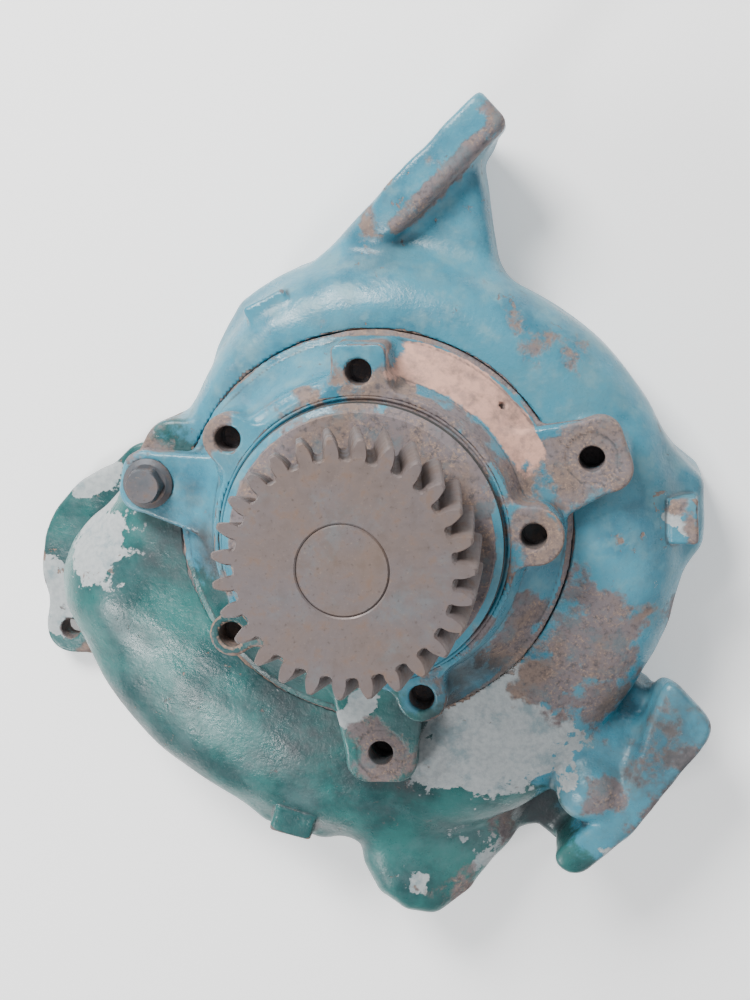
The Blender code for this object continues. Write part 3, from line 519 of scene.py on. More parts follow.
# Painted shade: below the gear and the bearing housing, under the left ear, in the gap and under the
# arch beside the side inlet, and over that inlet's flange.
VOLUTE_PAINTED_SHADE = (
    (68, -140, 16, 42, 1), (114, -66, 26, 26, 1), (4, -98, 62, 46, 0.62), (-34, -92, 62, 50, 0.62),
    (126, -106, 56, 66, 0.64), (-84, 0, 66, 34, 0.8),
)
HOUSING_PRIMER = ((-8, -79, 80, 16, 1), (94, 20, 76, 10, 0.4))
HOUSING_RUST = (
    # ears and the right boss
    (*spot(EAR_R, EAR_ANGLES[0]), EAR_TOP_Z, 36, 1), (*spot(EAR_R, EAR_ANGLES[1]), EAR_TOP_Z, 16, 0.6),
    (*spot(EAR_R, EAR_ANGLES[2]), EAR_TOP_Z, 26, 1), (*spot(BOSS_R, 2), FLANGE_Z, 24, 0.9),
    (-96, 36, 70, 20, 0.9), (94, 44, 76, 18, 0.9),
    # upper left and top of the flange
    (-60, 50, 97, 20, 0.7), (-40, 58, 92, 18, 0.62), (-22, 62, 98, 16, 0.6), (4, 81, 84, 18, 0.8),
    # right of the flange and of the cone
    (14, 62, 92, 24, 0.9), (44, 44, 94, 30, 0.9), (62, 22, 92, 24, 0.9), (60, -48, 78, 30, 0.8),
    (66, -36, 76, 22, 0.8), (48, -34, 98, 22, 0.7),
    # collar, and a little all round the flange
    (-38, -42, 106, 26, 0.42), (0, 58, 106, 26, 0.7), (-30, 50, 106, 22, 0.5),
    (52, 22, 106, 22, 0.7), (-20, -62, 96, 30, 0.42), (-58, -18, 96, 30, 0.42),
    (30, -56, 96, 24, 0.5), (-60, 24, 92, 24, 0.45),
)
# Painted shade: the gear's shadow to its lower right, and the shade beside the left ear.
HOUSING_PAINTED_SHADE = (
    (40, -68, 84, 30, 1), (-71, -8, 84, 22, 0.8), (30, -76, 70, 24, 1), (-84, 10, 74, 22, 0.6),
)
SEAT_HOLES = [spot(EAR_R, angle) for angle in EAR_ANGLES] + list(OUTLET_HOLES)
BOSS_HOLES = [spot(BOSS_R, angle) for angle, _ in BOSSES]


def volute_coats(x, y, z):
    # Inside the holes: rust, and painted shade. Deep in the seam and the bores under the bearing
    # housing: painted shade.
    in_hole = ramp(depth_in_holes(x, y, SEAT_HOLES, HOLE_R + 0.4), 0, 0.4)
    in_seam = ramp(66 - z, 0, 30) * ramp(SEAM_R + 1.5 - np.hypot(x, y), 0, 1)
    out, along = turned(x, y, TOP_ANGLE)
    # The back edge of the top plate is rusty all along, and the dark band there is partly painted
    # shade on its rounded edge.
    lip = ramp(z, 44, 52) * ramp(91 - out, 0, 4) * ramp(out - 77, 0, 2) * ramp(-88 - along, 0, 6)
    return {
        "green": ramp(-0.8 * x - 0.75 * y, 6, 62),
        "primer": near(x, y, z, VOLUTE_PRIMER),
        "rust": most(near(x, y, z, VOLUTE_RUST), 0.62 * lip, 0.6 * in_hole),
        "bare": np.zeros(np.shape(x)),
        # Painted shade: the shade places, the seam and the holes.
        "grime": most(near(x, y, z, VOLUTE_PAINTED_SHADE), in_seam, 0.4 * in_hole),
    }


def housing_coats(x, y, z):
    r, angle = np.hypot(x, y), np.degrees(np.arctan2(y, x))
    # The cone is bare metal in the upper right, with a rusty band at its inner edge.
    sector = np.minimum(ramp(angle, 12, 36), ramp(88 - angle, 0, 16))
    bare = sector * ramp(r, 64, 69) * ramp(83.5 - r, 0, 3) * ramp(z, 66, 69)
    band = sector * ramp(66 - r, 0, 3) * ramp(z, 78, 84)
    rim = ramp(r, 81.5, 82.5) * ramp(74 - z, 0, 1) * ramp(angle, -70, -50) * ramp(120 - angle, 0, 30)
    collar_face = ramp(z, 105.2, 105.6) * ramp(54.9 - r, 0, 0.6)
    # Painted shade in the collar's O-ring groove and the bores below its top, and, with rust, inside
    # the boss holes.
    groove = ramp(57 - r, 0, 1) * ramp(104 - z, 0, 0.5)
    in_hole = ramp(depth_in_holes(x, y, BOSS_HOLES, HOLE_R + 0.3), 0, 0.3)
    in_hole = in_hole * ramp(FLANGE_Z - 0.7 - z, 0, 1)
    places = near(x, y, z, HOUSING_RUST)
    return {
        "green": ramp(-0.45 * x - 0.9 * y, 34, 66),
        "primer": near(x, y, z, HOUSING_PRIMER),
        "rust": most(places, 0.7 * rim, 0.75 * band, collar_face, 0.7 * in_hole),
        "bare": bare,
        # Painted shade: the shade places, the holes and the groove.
        "grime": most(near(x, y, z, HOUSING_PAINTED_SHADE), 0.4 * in_hole, groove),
    }


def keep_attributes(mesh, values):
    for title, amount in values.items():
        layer = mesh.attributes.new(title, "FLOAT", "POINT")
        layer.data.foreach_set("value", np.clip(amount, 0, 1).astype(np.float32))


def coat(mesh, coats):
    """Keeps the coats of paint at each point of a turned mesh, whose edges aren't worn."""
    places = np.empty(len(mesh.vertices) * 3)
    mesh.vertices.foreach_get("co", places)
    x, y, z = places.reshape(-1, 3).T / MM
    keep_attributes(mesh, {**coats(x, y, z), "edge": 0 * x, "hollow": 0 * x})


# ---------------------------------------------------------------- meshes
def evaluate(field, points):
    return field(points[:, 0], points[:, 1], points[:, 2])


SLOPE_REACH, BEND_REACH, SETTLING_ROUNDS = 0.4, 1.6, 3


def settled(field, points, step):
    """Moves points onto the surface; gives them, the outward normals and the curvature."""
    for _ in range(SETTLING_ROUNDS):
        value = evaluate(field, points)
        rises = [evaluate(field, points + d) - evaluate(field, points - d)
                 for d in np.eye(3) * SLOPE_REACH]
        slope = np.stack(rises, 1) / (2 * SLOPE_REACH)
        size = np.maximum((slope**2).sum(1), 0.2)
        move = slope * (value / size)[:, None]
        length = np.maximum(np.linalg.norm(move, axis=1), 1e-9)
        points = points - move * np.minimum(1, 0.7 * step / length)[:, None]
    normals = slope / np.maximum(np.linalg.norm(slope, axis=1), 1e-6)[:, None]
    middle = evaluate(field, points)
    bend = sum(evaluate(field, points + d) + evaluate(field, points - d) - 2 * middle
               for d in np.eye(3) * BEND_REACH) / BEND_REACH**2
    return points, normals, bend


LAYERS_AT_ONCE = 8


def casting(name, field, coats, low, high, step):
    """A closed mesh of a distance field, with its edge wear and its hollows kept as attributes."""
    axes = [np.arange(a, b, step, dtype=np.float32) for a, b in zip(low, high)]
    values = np.empty([len(a) for a in axes], np.float32)
    band = 4 * step
    for k in range(0, len(axes[2]), LAYERS_AT_ONCE):
        some = slice(k, k + LAYERS_AT_ONCE)
        x, y, z = np.meshgrid(axes[0], axes[1], axes[2][some], indexing="ij")
        values[:, :, some] = np.clip(field(x, y, z), -band, band)
    grid = openvdb.FloatGrid(band)
    grid.copyFromArray(values)
    points, quads = grid.convertToQuads()
    points = np.asarray(points, np.float64) * step + np.array(low)
    quads = np.asarray(quads)
    points, normals, bend = settled(field, points, step)
    mesh = bpy.data.meshes.new(name)
    mesh.from_pydata((points * MM).tolist(), [], quads.tolist())
    mesh.shade_smooth()
    mesh.normals_split_custom_set_from_vertices(normals.tolist())
    keep_attributes(mesh, {**evaluate(coats, points), "edge": bend, "hollow": -bend})
    obj = bpy.data.objects.new(name, mesh)
    bpy.context.scene.collection.objects.link(obj)
    return obj


def finished(name, work, angle=32):
    """An object from a bmesh in millimetres, shaded smooth up to its sharp edges."""
    bmesh.ops.scale(work, vec=(MM, MM, MM), verts=work.verts)
    bmesh.ops.recalc_face_normals(work, faces=work.faces)
    mesh = bpy.data.meshes.new(name)
    work.to_mesh(mesh)
    work.free()
    mesh.shade_smooth()
    mesh.set_sharp_from_angle(angle=math.radians(angle))
    obj = bpy.data.objects.new(name, mesh)
    bpy.context.scene.collection.objects.link(obj)
    return obj


def lathe_into(work, section, steps, centre=(0.0, 0.0), twist=0.0):
    """Adds a ring turned from a closed (radius, z) section; points on the axis close it."""
    rings = []
    for r, z in section:
        if r < 1e-6:
            rings.append([work.verts.new((*centre, z))] * steps)
            continue
        ring = []
        for i in range(steps):
            x, y = spot(r, 360 * i / steps + twist)
            ring.append(work.verts.new((centre[0] + x, centre[1] + y, z)))
        rings.append(ring)
    pairs = list(zip(rings, rings[1:] + rings[:1]))
    if section[0][0] < 1e-6:
        pairs = pairs[:-1]
    for lower, upper in pairs:
        for i in range(steps):
            j = (i + 1) % steps
            corners = []
            for vertex in (lower[i], lower[j], upper[j], upper[i]):
                if vertex not in corners:
                    corners.append(vertex)
            if len(corners) > 2:
                work.faces.new(corners)


def lathe(name, section, steps=128, centre=(0.0, 0.0)):
    work = bmesh.new()
    lathe_into(work, section, steps, centre)
    return finished(name, work)


def torus(name, ring_radius, wire_radius, z):
    section = [spot(wire_radius, 30 * i) for i in range(12)]
    return lathe(name, [(ring_radius + out, z + up) for out, up in section])


def join(*objects):
    """Joins objects into the first one, keeping its attributes and normals."""
    with bpy.context.temp_override(active_object=objects[0], selected_editable_objects=list(objects)):
        bpy.ops.object.join()
    return objects[0]


# ---------------------------------------------------------------- gear
TOOTH_THINNING = 0.12
FLANK_POINTS = 6
HELIX_LEVELS = 12


def tooth_half_angle(radius):
    """Half a tooth's angle at a radius: an involute flank, thinned for backlash."""
    base = PITCH_R * math.cos(math.radians(PRESSURE_ANGLE))

    def involute(at):
        pressure = math.acos(min(1.0, base / at))
        return math.tan(pressure) - pressure

    at_pitch = math.pi / (2 * TEETH) - TOOTH_THINNING / PITCH_R
    return at_pitch + involute(PITCH_R) - involute(max(radius, base))


def gear_outline(twist, shrink):
    """The gear's outline: root fillets, involute flanks and tips with worn corners."""
    tip, root = PITCH_R + MODULE - shrink, PITCH_R - 1.5 * MODULE - 0.5 * shrink
    points = []
    for tooth in range(TEETH):
        middle = math.radians(twist) + 2 * math.pi * tooth / TEETH
        foot = tooth_half_angle(root)
        side = [(root, foot + 0.030), (root + 0.35, foot + 0.014)]
        for i in range(FLANK_POINTS):
            r = root + 1.1 + (tip - 0.55 - root - 1.1) * i / (FLANK_POINTS - 1)
            side.append((r, tooth_half_angle(r)))
        side += [(tip - 0.15, tooth_half_angle(tip) - 0.002), (tip, tooth_half_angle(tip) - 0.009)]
        side = [(r, max(0.004, half - 0.6 * shrink / r)) for r, half in side]
        whole = [(r, middle - half) for r, half in side]
        whole += [(r, middle + half) for r, half in side[::-1]]
        points += [(r * math.cos(a), r * math.sin(a)) for r, a in whole]
    return points


def helical_gear(name):
    work = bmesh.new()
    back = GEAR_FACE_Z - GEAR_WIDTH
    # Each level is a share of the width and how far the chamfer draws the outline in there.
    levels = [(i / HELIX_LEVELS, 0.0) for i in range(1, HELIX_LEVELS)]
    levels = [(0.0, 0.9), (0.028, 0.0)] + levels + [(0.972, 0.0), (1.0, 0.9)]
    rings = []
    for share, shrink in levels:
        outline = gear_outline(HELIX_TWIST * (1 - share), shrink)
        rings.append([work.verts.new((x, y, back + GEAR_WIDTH * share)) for x, y in outline])
    count = len(rings[0])

    def inner_ring(radius, z, like):
        ring = []
        for vertex in like:
            scale = radius / math.hypot(vertex.co.x, vertex.co.y)
            ring.append(work.verts.new((vertex.co.x * scale, vertex.co.y * scale, z)))
        return ring

    face = ((41, 0), (30, 0), (SHAFT_R + 0.7, 0), (SHAFT_R + 0.1, 0.45), (SHAFT_R + 0.06, 6))
    hub = ((40.5, 0), (28, 0), (26.6, 0.6), (26.6, 4.4), (26, 5), (SHAFT_R + 1, 5),
           (SHAFT_R + 0.06, 4.4))
    front = [inner_ring(r, GEAR_FACE_Z - down, rings[-1]) for r, down in face]
    rear = [inner_ring(r, back - down, rings[0]) for r, down in hub]
    chain = rear[::-1] + rings + front
    for lower, upper in zip(chain, chain[1:] + chain[:1]):
        for i in range(count):
            j = (i + 1) % count
            work.faces.new((lower[i], lower[j], upper[j], upper[i]))
    return finished(name, work, 28)


# ---------------------------------------------------------------- shaft, bolts and cover
HEAD_STEPS = 48
THREAD_PITCH = 1.5


def shaft_piece():
    section = [
        (0, GEAR_FACE_Z - 0.1), (4, GEAR_FACE_Z - 0.1), (SHAFT_R - 0.7, GEAR_FACE_Z - 0.1),
        (SHAFT_R - 0.05, GEAR_FACE_Z - 0.8), (SHAFT_R, 113.2), (21, 113), (21, 103.4), (17.5, 103.3),
        (17.5, 89.7), (15, 89.6), (15, 73.7), (12.5, 73.6), (12.5, 50.6), (10, 50.5),
        (10, 36.2), (7, 36.1), (7, 24.5), (6, 23.5), (0, 23.5),
    ]
    return lathe("shaft", section, 96)


def hex_bolt(name, centre, seat, up, across, head, flange, shank, tip_z):
    """Flange bolt: washer face, hexagon with a chamfered crown, and a threaded shank.

    up is 1 for a head above its seat and -1 for one below; across is the width over the flats.
    """
    work = bmesh.new()
    x, y = centre
    collar = [(0, seat), (flange - 0.4, seat), (flange, seat + up * 0.5),
              (flange - 0.1, seat + up * 1.2), (across * 0.62, seat + up * 2.9), (0, seat + up * 2.9)]
    lathe_into(work, collar, 64, centre)
    corner = across / math.sqrt(3)
    rings = []
    for level, chamfer in ((1.5, 0), (head - 1.3, 0), (head - 0.5, 0.55), (head, 1.5)):
        ring = []
        for i in range(HEAD_STEPS):
            angle = 360 / HEAD_STEPS * i
            flat = math.radians((angle % 60) - 30)
            r = min(across / 2 / math.cos(flat), corner - 0.25 - chamfer * 0.62)
            dx, dy = spot(r, angle)
            ring.append(work.verts.new((x + dx, y + dy, seat + up * level)))
        rings.append(ring)
    middle = work.verts.new((x, y, seat + up * (head - 0.35)))
    dish = []
    for vertex in rings[-1]:
        dish.append(work.verts.new((x + (vertex.co.x - x) * 0.72, y + (vertex.co.y - y) * 0.72,
                                    seat + up * (head - 0.1))))
    rings.append(dish)
    for i in range(HEAD_STEPS):
        j = (i + 1) % HEAD_STEPS
        for lower, upper in zip(rings, rings[1:]):
            work.faces.new((lower[i], lower[j], upper[j], upper[i]))
        work.faces.new((dish[i], dish[j], middle))
    work.faces.new(rings[0][::-1])
    thread = [(0, seat + up)]
    turns = int(abs(seat - tip_z) / THREAD_PITCH)
    for i in range(turns * 2 + 1):
        r = shank if i % 2 else shank - 0.55
        thread.append((r, seat + up - up * THREAD_PITCH * (1 + i / 2)))
    thread.append((0, thread[-1][1]))
    lathe_into(work, thread, 32, centre)
    return finished(name, work, 30)


def rear_cover_piece():
    """The pressed plate behind the suction chamber."""
    low, high = COVER_SEAT_Z - 8.6, COVER_SEAT_Z - 1.4
    section = [(0.0, high), (COVER_R - 1, high), (COVER_R, high - 1), (COVER_R, low + 1.5),
               (COVER_R - 1.5, low), (76.5, low), (75, low + 0.4), (72.5, low + 2.2), (71, low + 2.6),
               (19.5, low + 2.6), (18, low + 2), (16.4, 1.2), (15.4, 0), (0, 0)]
    return lathe("cover_plate", section, 160)


# ---------------------------------------------------------------- materials
class Paint:
    """Builds one node material step by step; sockets are passed about as values."""

    def __init__(self, name):
        self.material = bpy.data.materials.new(name)
        self.material.use_nodes = True
        self.tree = self.material.node_tree
        self.shader = self.tree.nodes["Principled BSDF"]
        self.place = self.node("ShaderNodeTexCoord").outputs["Object"]

    def node(self, kind, **settings):
        made = self.tree.nodes.new(kind)
        for key, value in settings.items():
            setattr(made, key, value)
        return made

    def feed(self, socket, value):
        if isinstance(value, bpy.types.NodeSocket):
            self.tree.links.new(value, socket)
        else:
            socket.default_value = value

    def maths(self, operation, a, b=0.0):
        made = self.node("ShaderNodeMath", operation=operation)
        self.feed(made.inputs[0], a)
        self.feed(made.inputs[1], b)
        return made.outputs[0]

    def times(self, a, b):
        return self.maths("MULTIPLY", a, b)

    def plus(self, a, b):
        return self.maths("ADD", a, b)

    def about_zero(self, noise, height):
        """A noise, which runs about 0.5, moved to run about 0 and scaled."""
        return self.times(self.maths("SUBTRACT", noise, 0.5), height)

    def noise(self, per_metre, detail=4.0, roughness=0.55, distortion=0.0):
        made = self.node("ShaderNodeTexNoise")
        self.feed(made.inputs["Vector"], self.place)
        made.inputs["Scale"].default_value = per_metre
        made.inputs["Detail"].default_value = detail
        made.inputs["Roughness"].default_value = roughness
        made.inputs["Distortion"].default_value = distortion
        return made.outputs["Fac"]

    def step(self, value, low, high):
        """From 0 at low to 1 at high, smoothly."""
        made = self.node("ShaderNodeMapRange", interpolation_type="SMOOTHSTEP")
        self.feed(made.inputs["Value"], value)
        made.inputs["From Min"].default_value = low
        made.inputs["From Max"].default_value = high
        return made.outputs["Result"]

    def mix(self, share, a, b):
        made = self.node("ShaderNodeMix", data_type="RGBA")
        self.feed(made.inputs[0], share)
        for socket, value in ((made.inputs[6], a), (made.inputs[7], b)):
            self.feed(socket, value if isinstance(value, bpy.types.NodeSocket) else (*value, 1.0))
        return made.outputs[2]

    def blend(self, share, a, b):
        made = self.node("ShaderNodeMix", data_type="FLOAT")
        self.feed(made.inputs[0], share)
        self.feed(made.inputs[2], a)
        self.feed(made.inputs[3], b)
        return made.outputs[0]

    def attribute(self, name):
        return self.node("ShaderNodeAttribute", attribute_name=name).outputs["Fac"]

    def any_of(self, *shares):
        total = shares[0]
        for share in shares[1:]:
            total = self.maths("MAXIMUM", total, share)
        return total

    def bump(self, height, strength, distance, below=None):
        made = self.node("ShaderNodeBump")
        made.inputs["Strength"].default_value = strength
        made.inputs["Distance"].default_value = distance * MM
        self.feed(made.inputs["Height"], height)
        if below is not None:
            self.feed(made.inputs["Normal"], below)
        return made.outputs["Normal"]

    def finish(self, colour, roughness, normal, metallic=0.0):
        for title, value in (("Base Color", colour), ("Roughness", roughness),
                             ("Normal", normal), ("Metallic", metallic)):
            self.feed(self.shader.inputs[title], value)
        self.shader.inputs["Specular IOR Level"].default_value = SPECULAR
        return self.material


SPECULAR = 0.4
BLUE, BLUE_DEEP, BLUE_CHALKY = (0.054, 0.222, 0.305), (0.027, 0.132, 0.195), (0.140, 0.285, 0.325)
GREEN, GREEN_DEEP, HAZE = (0.027, 0.132, 0.125), (0.011, 0.052, 0.055), (0.120, 0.195, 0.205)
PRIMER, PRIMER_DULL = (0.370, 0.395, 0.400), (0.290, 0.320, 0.330)
PRIMER_BLUE = (0.150, 0.225, 0.250)
RUST, RUST_TAN, RUST_DARK = (0.170, 0.130, 0.132), (0.330, 0.215, 0.150), (0.085, 0.062, 0.062)
RUST_WARM, RUST_BLUE = (0.200, 0.130, 0.095), (0.105, 0.135, 0.150)
BARE, BARE_DULL, BARE_BROWN = (0.560, 0.320, 0.245), (0.350, 0.215, 0.180), (0.190, 0.130, 0.110)
# Near-black colour of the painted shade.
SHADE_GREY = (0.040, 0.045, 0.050)
STEEL, STEEL_GREY, STEEL_RUST = (0.140, 0.108, 0.098), (0.132, 0.112, 0.114), (0.160, 0.095, 0.060)
STEEL_BLUE, STEEL_TAN, STEEL_PIT = (0.120, 0.165, 0.185), (0.300, 0.235, 0.185), (0.065, 0.048, 0.042)


def worn_coats(name):
    """Blue and green coats over grey primer over rusty iron, each with its edge broken by noise."""
    p = Paint(name)
    coarse, middle, fine = p.noise(28, 6, 0.62), p.noise(95, 6, 0.62), p.noise(420, 5, 0.6)
    ragged = p.plus(p.about_zero(coarse, 0.9), p.about_zero(middle, 0.9))
    ragged = p.plus(ragged, p.about_zero(p.noise(230, 5, 0.65), 0.45))

    def left(title, least, softness):
        return p.step(p.plus(p.attribute(title), ragged), least, least + softness)

    blue = p.mix(p.step(coarse, 0.40, 0.66), BLUE, BLUE_DEEP)
    blue = p.mix(p.times(p.step(middle, 0.46, 0.70), 0.55), blue, BLUE_CHALKY)
    green = p.mix(p.step(coarse, 0.33, 0.62), GREEN, GREEN_DEEP)
    colour = p.mix(left("green", 0.40, 0.22), blue, green)
    colour = p.mix(p.times(p.step(p.noise(38, 6, 0.68), 0.44, 0.70), 0.32), colour, HAZE)

    flakes = p.step(p.plus(p.noise(60, 6, 0.7, 0.6), p.times(coarse, 0.3)), 0.84, 0.85)
    primed = p.any_of(left("primer", 0.34, 0.05), flakes)
    primer = p.mix(p.step(fine, 0.35, 0.7), PRIMER, PRIMER_DULL)
    primer = p.mix(p.times(p.step(p.noise(70, 6, 0.7), 0.50, 0.68), 0.75), primer, PRIMER_BLUE)
    colour = p.mix(primed, colour, primer)

    wear = p.plus(p.times(p.attribute("edge"), 0.85), p.about_zero(p.noise(55, 4, 0.6), 2.2))
    worn = p.step(p.plus(wear, ragged), 0.60, 0.75)
    spots = p.step(p.plus(p.noise(130, 5, 0.7, 0.4), p.times(coarse, 0.35)), 0.83, 0.87)
    rusted = p.any_of(left("rust", 0.33, 0.20), worn, spots)
    rust = p.mix(p.times(p.step(coarse, 0.46, 0.60), 0.8), RUST, RUST_WARM)
    rust = p.mix(p.step(fine, 0.45, 0.72), rust, RUST_DARK)
    grains = p.times(p.step(p.noise(900, 4, 0.65), 0.48, 0.66), p.step(middle, 0.62, 0.42))
    rust = p.mix(p.times(grains, 0.85), rust, RUST_TAN)
    rust = p.mix(p.times(p.step(p.noise(64, 6, 0.72), 0.50, 0.66), 0.7), rust, RUST_BLUE)
    colour = p.mix(p.times(rusted, 0.93), colour, rust)

    stripped = left("bare", 0.42, 0.16)
    bare = p.mix(p.step(p.noise(180, 5, 0.65), 0.42, 0.72), BARE, BARE_DULL)
    bare = p.mix(p.times(p.step(p.noise(75, 6, 0.7), 0.46, 0.66), 0.8), bare, BARE_BROWN)
    bare = p.mix(p.times(p.step(fine, 0.50, 0.70), 0.35), bare, BARE_DULL)
    colour = p.mix(stripped, colour, bare)

    # Painted shade from the attribute of shade places, seams, holes and grooves, and painted shade in
    # the casting's hollows.
    shaded = p.step(p.plus(p.attribute("grime"), p.times(ragged, 0.7)), 0.10, 0.85)
    creases = p.step(p.plus(p.attribute("hollow"), p.times(middle, 0.25)), 0.20, 0.60)
    colour = p.mix(p.any_of(shaded, p.times(creases, 0.7)), colour, SHADE_GREY)

    no_paint = p.any_of(rusted, stripped)
    gloss = p.blend(p.step(middle, 0.3, 0.7), 0.24, 0.42)
    rough = p.blend(no_paint, p.blend(primed, gloss, 0.60), 0.78)
    bumps = p.bump(p.noise(480, 4, 0.55), 0.6, 0.40)
    bumps = p.bump(p.noise(1500, 3, 0.6), 0.4, 0.14, bumps)
    missing = p.plus(no_paint, p.times(primed, 0.5))
    return p.finish(colour, rough, p.bump(p.maths("SUBTRACT", 1.0, missing), 0.8, 0.22, bumps))


def oxidised_steel(name, base=STEEL, metallic=0.35):
    p = Paint(name)
    coarse, middle, fine = p.noise(40, 5, 0.6), p.noise(160, 5, 0.62), p.noise(900, 4, 0.6)
    colour = p.mix(p.step(coarse, 0.35, 0.65), base, STEEL_GREY)
    colour = p.mix(p.times(p.step(middle, 0.48, 0.72), 0.55), colour, STEEL_RUST)
    colour = p.mix(p.times(p.step(p.noise(38, 6, 0.7), 0.54, 0.72), 0.36), colour, STEEL_BLUE)
    colour = p.mix(p.times(p.step(fine, 0.58, 0.78), 0.35), colour, STEEL_TAN)
    colour = p.mix(p.times(p.step(p.noise(600, 3), 0.62, 0.70), 0.5), colour, STEEL_PIT)
    rough = p.blend(p.step(middle, 0.3, 0.7), 0.42, 0.68)
    normal = p.bump(fine, 0.3, 0.08, p.bump(middle, 0.35, 0.2))
    return p.finish(colour, rough, normal, metallic)


def bright_metal(name, colour, roughness, dull=(0.25, 0.22, 0.19)):
    p = Paint(name)
    tone = p.mix(p.times(p.step(p.noise(260, 4, 0.6), 0.5, 0.8), 0.35), colour, dull)
    rough = p.blend(p.step(p.noise(90, 4), 0.35, 0.7), roughness, roughness + 0.2)
    return p.finish(tone, rough, p.bump(p.noise(1500, 3), 0.15, 0.03), 1.0)


def plain_matter(name, colour, other, roughness, grain, metallic=0.0):
    """Rubber, graphite, ceramic and the like; grain is the noise's scale per metre."""
    p = Paint(name)
    tone = p.mix(p.step(p.noise(grain * 0.3, 4), 0.35, 0.7), colour, other)
    rough = p.blend(p.step(p.noise(grain, 4), 0.3, 0.7), roughness, roughness + 0.15)
    return p.finish(tone, rough, p.bump(p.noise(grain * 2, 3), 0.3, 0.08), metallic)


casting_coats = worn_coats("casting_coats")
steel_gear = oxidised_steel("gear_steel")
steel_shaft = oxidised_steel("shaft_steel", (0.150, 0.110, 0.092))
steel_bolt = oxidised_steel("bolt_steel", (0.092, 0.102, 0.116), 0.55)
# One material for each slot of the record.
SLOT_MATERIALS = {
    "steel_bright": bright_metal("bearing_steel", (0.62, 0.62, 0.64), 0.22),
    "iron_bare": plain_matter("bare_iron", (0.20, 0.17, 0.15), (0.12, 0.09, 0.075), 0.6, 300, 0.6),
    "rubber": plain_matter("seal_rubber", (0.02, 0.02, 0.02), (0.045, 0.043, 0.040), 0.55, 600),
    "brass": bright_metal("brass_metal", (0.66, 0.48, 0.21), 0.3, (0.30, 0.20, 0.10)),
    "carbon": plain_matter("carbon_graphite", (0.05, 0.05, 0.052), (0.03, 0.03, 0.03), 0.4, 900),
    "ceramic": plain_matter("seal_ceramic", (0.82, 0.80, 0.76), (0.72, 0.69, 0.64), 0.2, 200),
    "gasket_fibre": plain_matter("gasket_sheet", (0.26, 0.28, 0.23), (0.16, 0.17, 0.15), 0.8, 700),
    "steel_worn": steel_bolt,
    "casting_paint": casting_coats,
}


VOLUTE_STEPS, HOUSING_STEPS = (2.4, 1.5), (1.8, 1.05)
GRID_MARGIN = (5, 6)
O_RING = (56.65, 1.45, 101.6)
FLOOR_GAP, FLOOR_HALF_SIDE, FLOOR_GLOW = 0.0004, 6000, 0.42
WORLD_STRENGTH = 0.44


def place(piece, body, material, slot_name, *replaced):
    piece.data.materials.clear()
    piece.data.materials.append(material)
    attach(piece, body)
    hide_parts(*replaced)
    return piece


def casting_of(node, name, field, coats, steps):
    """The casting in place of a CAD node, on a grid a little larger than the node's box."""
    low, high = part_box(node)
    return casting(name, field, coats, [c / MM - GRID_MARGIN[0] for c in low],
                   [c / MM + GRID_MARGIN[1] for c in high], steps[1])


def build_castings():
    volute = casting_of("volute_housing", "volute_casting", volute_field, volute_coats, VOLUTE_STEPS)
    place(volute, "housing", casting_coats, "casting_paint", "volute_housing")
    outside = casting_of("bearing_housing", "bearing_housing_casting", housing_field, housing_coats,
                         HOUSING_STEPS)
    core = lathe("bearing_housing_core", HOUSING_CORE, 160)
    coat(core.data, housing_coats)
    place(join(outside, core), "housing", casting_coats, "casting_paint", "bearing_housing")


def build_turned_pieces():
    place(helical_gear("gear"), "rotor", steel_gear, "steel_worn", "drive_gear")
    place(shaft_piece(), "rotor", steel_shaft, "steel_worn", "pump_shaft")
    seal = torus("collar_seal", *O_RING)
    place(seal, "housing", SLOT_MATERIALS["rubber"], "rubber", "collar_o_ring")
    cover = rear_cover_piece()
    coat(cover.data, volute_coats)
    place(cover, "housing", casting_coats, "casting_paint", "rear_cover")
    seat = EAR_TOP_Z - 0.25
    bolt = hex_bolt("ear_flange_bolt", spot(EAR_R, EAR_ANGLES[1]), seat, 1,
                    across=14.0, head=9.6, flange=10.9, shank=4.9, tip_z=56)
    place(bolt, "housing", steel_bolt, "steel_worn", "ear_bolt")
    for i, centre in enumerate(cover_bolt_spots()):
        bolt = hex_bolt(f"cover_flange_bolt_{i + 1}", centre, COVER_SEAT_Z - 8.7, -1,
                        across=12.0, head=5.2, flange=7.6, shank=4.0, tip_z=27)
        place(bolt, "housing", steel_bolt, "steel_worn", f"rear_cover_bolt_{i + 1}")


def dress_carried_nodes():
    """Materials for the CAD nodes that are shown as they are."""
    slots = {entry["node"]: entry["material_slot"] for entry in frame["record"]["subparts"]}
    for name, node in NODES.items():
        node.data.materials.clear()
        node.data.materials.append(SLOT_MATERIALS[slots[name]])
        node.data.shade_smooth()
        node.data.set_sharp_from_angle(angle=math.radians(35))


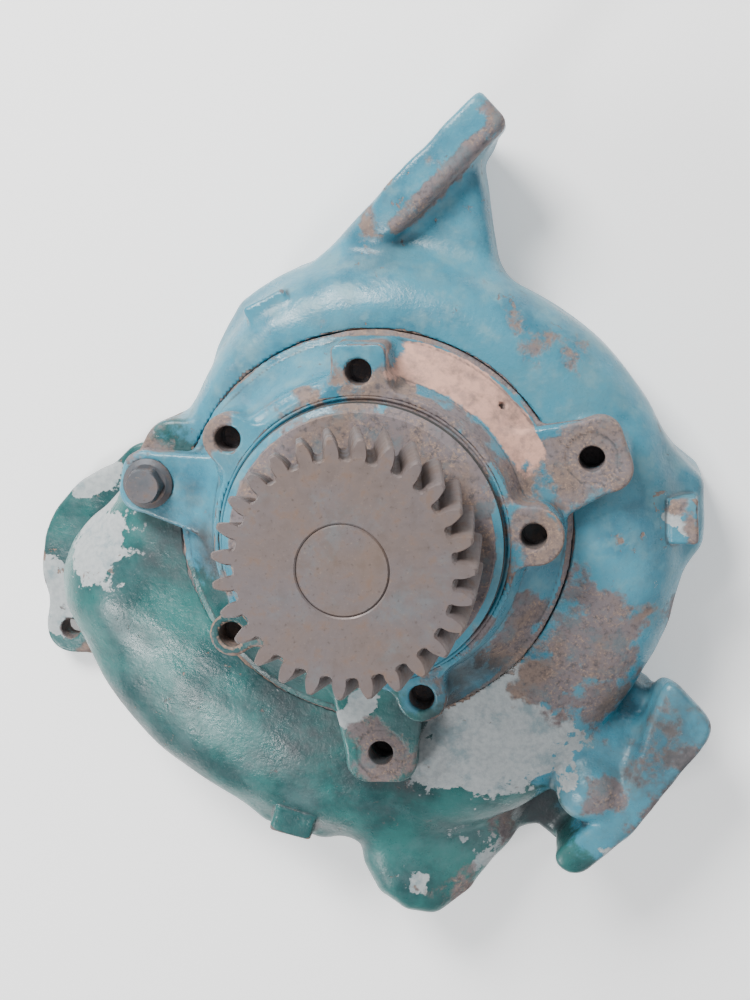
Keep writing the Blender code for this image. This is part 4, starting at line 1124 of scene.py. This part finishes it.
def add_floor():
    work = bmesh.new()
    bmesh.ops.create_grid(work, x_segments=1, y_segments=1, size=FLOOR_HALF_SIDE)
    floor = finished("floor", work)
    floor.location.z = CAD_BOX[0][2] - FLOOR_GAP
    p = Paint("floor_paper")
    tone = p.mix(p.step(p.noise(3, 3), 0.3, 0.7), (0.86, 0.86, 0.86), (0.84, 0.84, 0.84))
    p.shader.inputs["Emission Color"].default_value = (1, 1, 1, 1)
    p.shader.inputs["Emission Strength"].default_value = FLOOR_GLOW
    floor.data.materials.append(p.finish(tone, 0.9, p.bump(p.noise(900, 2), 0.05, 0.05)))


def add_light(name, place_at, aim, size, power, colour=(1, 1, 1)):
    """A square lamp; places in metres, size its side, power in watts."""
    data = bpy.data.lights.new(name, "AREA")
    data.energy, data.size, data.color = power, size, colour
    light = bpy.data.objects.new(name, data)
    light.location = place_at
    light.rotation_euler = (Vector(aim) - Vector(place_at)).to_track_quat("-Z", "Y").to_euler()
    bpy.context.scene.collection.objects.link(light)


def add_stage():
    add_floor()
    add_light("key", (-0.46, 0.94, 1.00), (0, 0, 0.05), 0.50, 40, (1.0, 0.99, 0.97))
    add_light("fill", (1.1, -0.6, 1.2), (0, 0, 0.05), 1.6, 6, (0.95, 0.98, 1.0))
    add_light("sheen", (-0.60, -0.55, 0.75), (-0.05, -0.08, 0.05), 0.24, 8)
    world = bpy.data.worlds.new("studio")
    bpy.context.scene.world = world
    world.use_nodes = True
    sky = world.node_tree.nodes["Background"]
    sky.inputs["Color"].default_value = (0.95, 0.97, 1.0, 1)
    sky.inputs["Strength"].default_value = WORLD_STRENGTH


# The camera's place, and its axes, at the photograph's viewing angle.
CAMERA_X, CAMERA_Y, CAMERA_ABOVE_GEAR = 0.09407, 0.12818, 0.53926
CAMERA_RIGHT, CAMERA_UP = (0.98931, -0.02684, -0.14333), (0, 0.98291, -0.18407)
CAMERA_BACK = (0.14582, 0.18210, 0.97241)


def add_camera():
    data = bpy.data.cameras.new("camera")
    data.lens, data.sensor_width = 54, 36
    camera = bpy.data.objects.new("camera", data)
    turn = Matrix((CAMERA_RIGHT, CAMERA_UP, CAMERA_BACK)).transposed().to_4x4()
    eye = (CAMERA_X, CAMERA_Y, GEAR_FACE_Z * MM + CAMERA_ABOVE_GEAR)
    camera.matrix_world = Matrix.Translation(eye) @ turn
    bpy.context.scene.collection.objects.link(camera)
    bpy.context.scene.camera = camera


build_castings()
build_turned_pieces()
dress_carried_nodes()
add_stage()
add_camera()
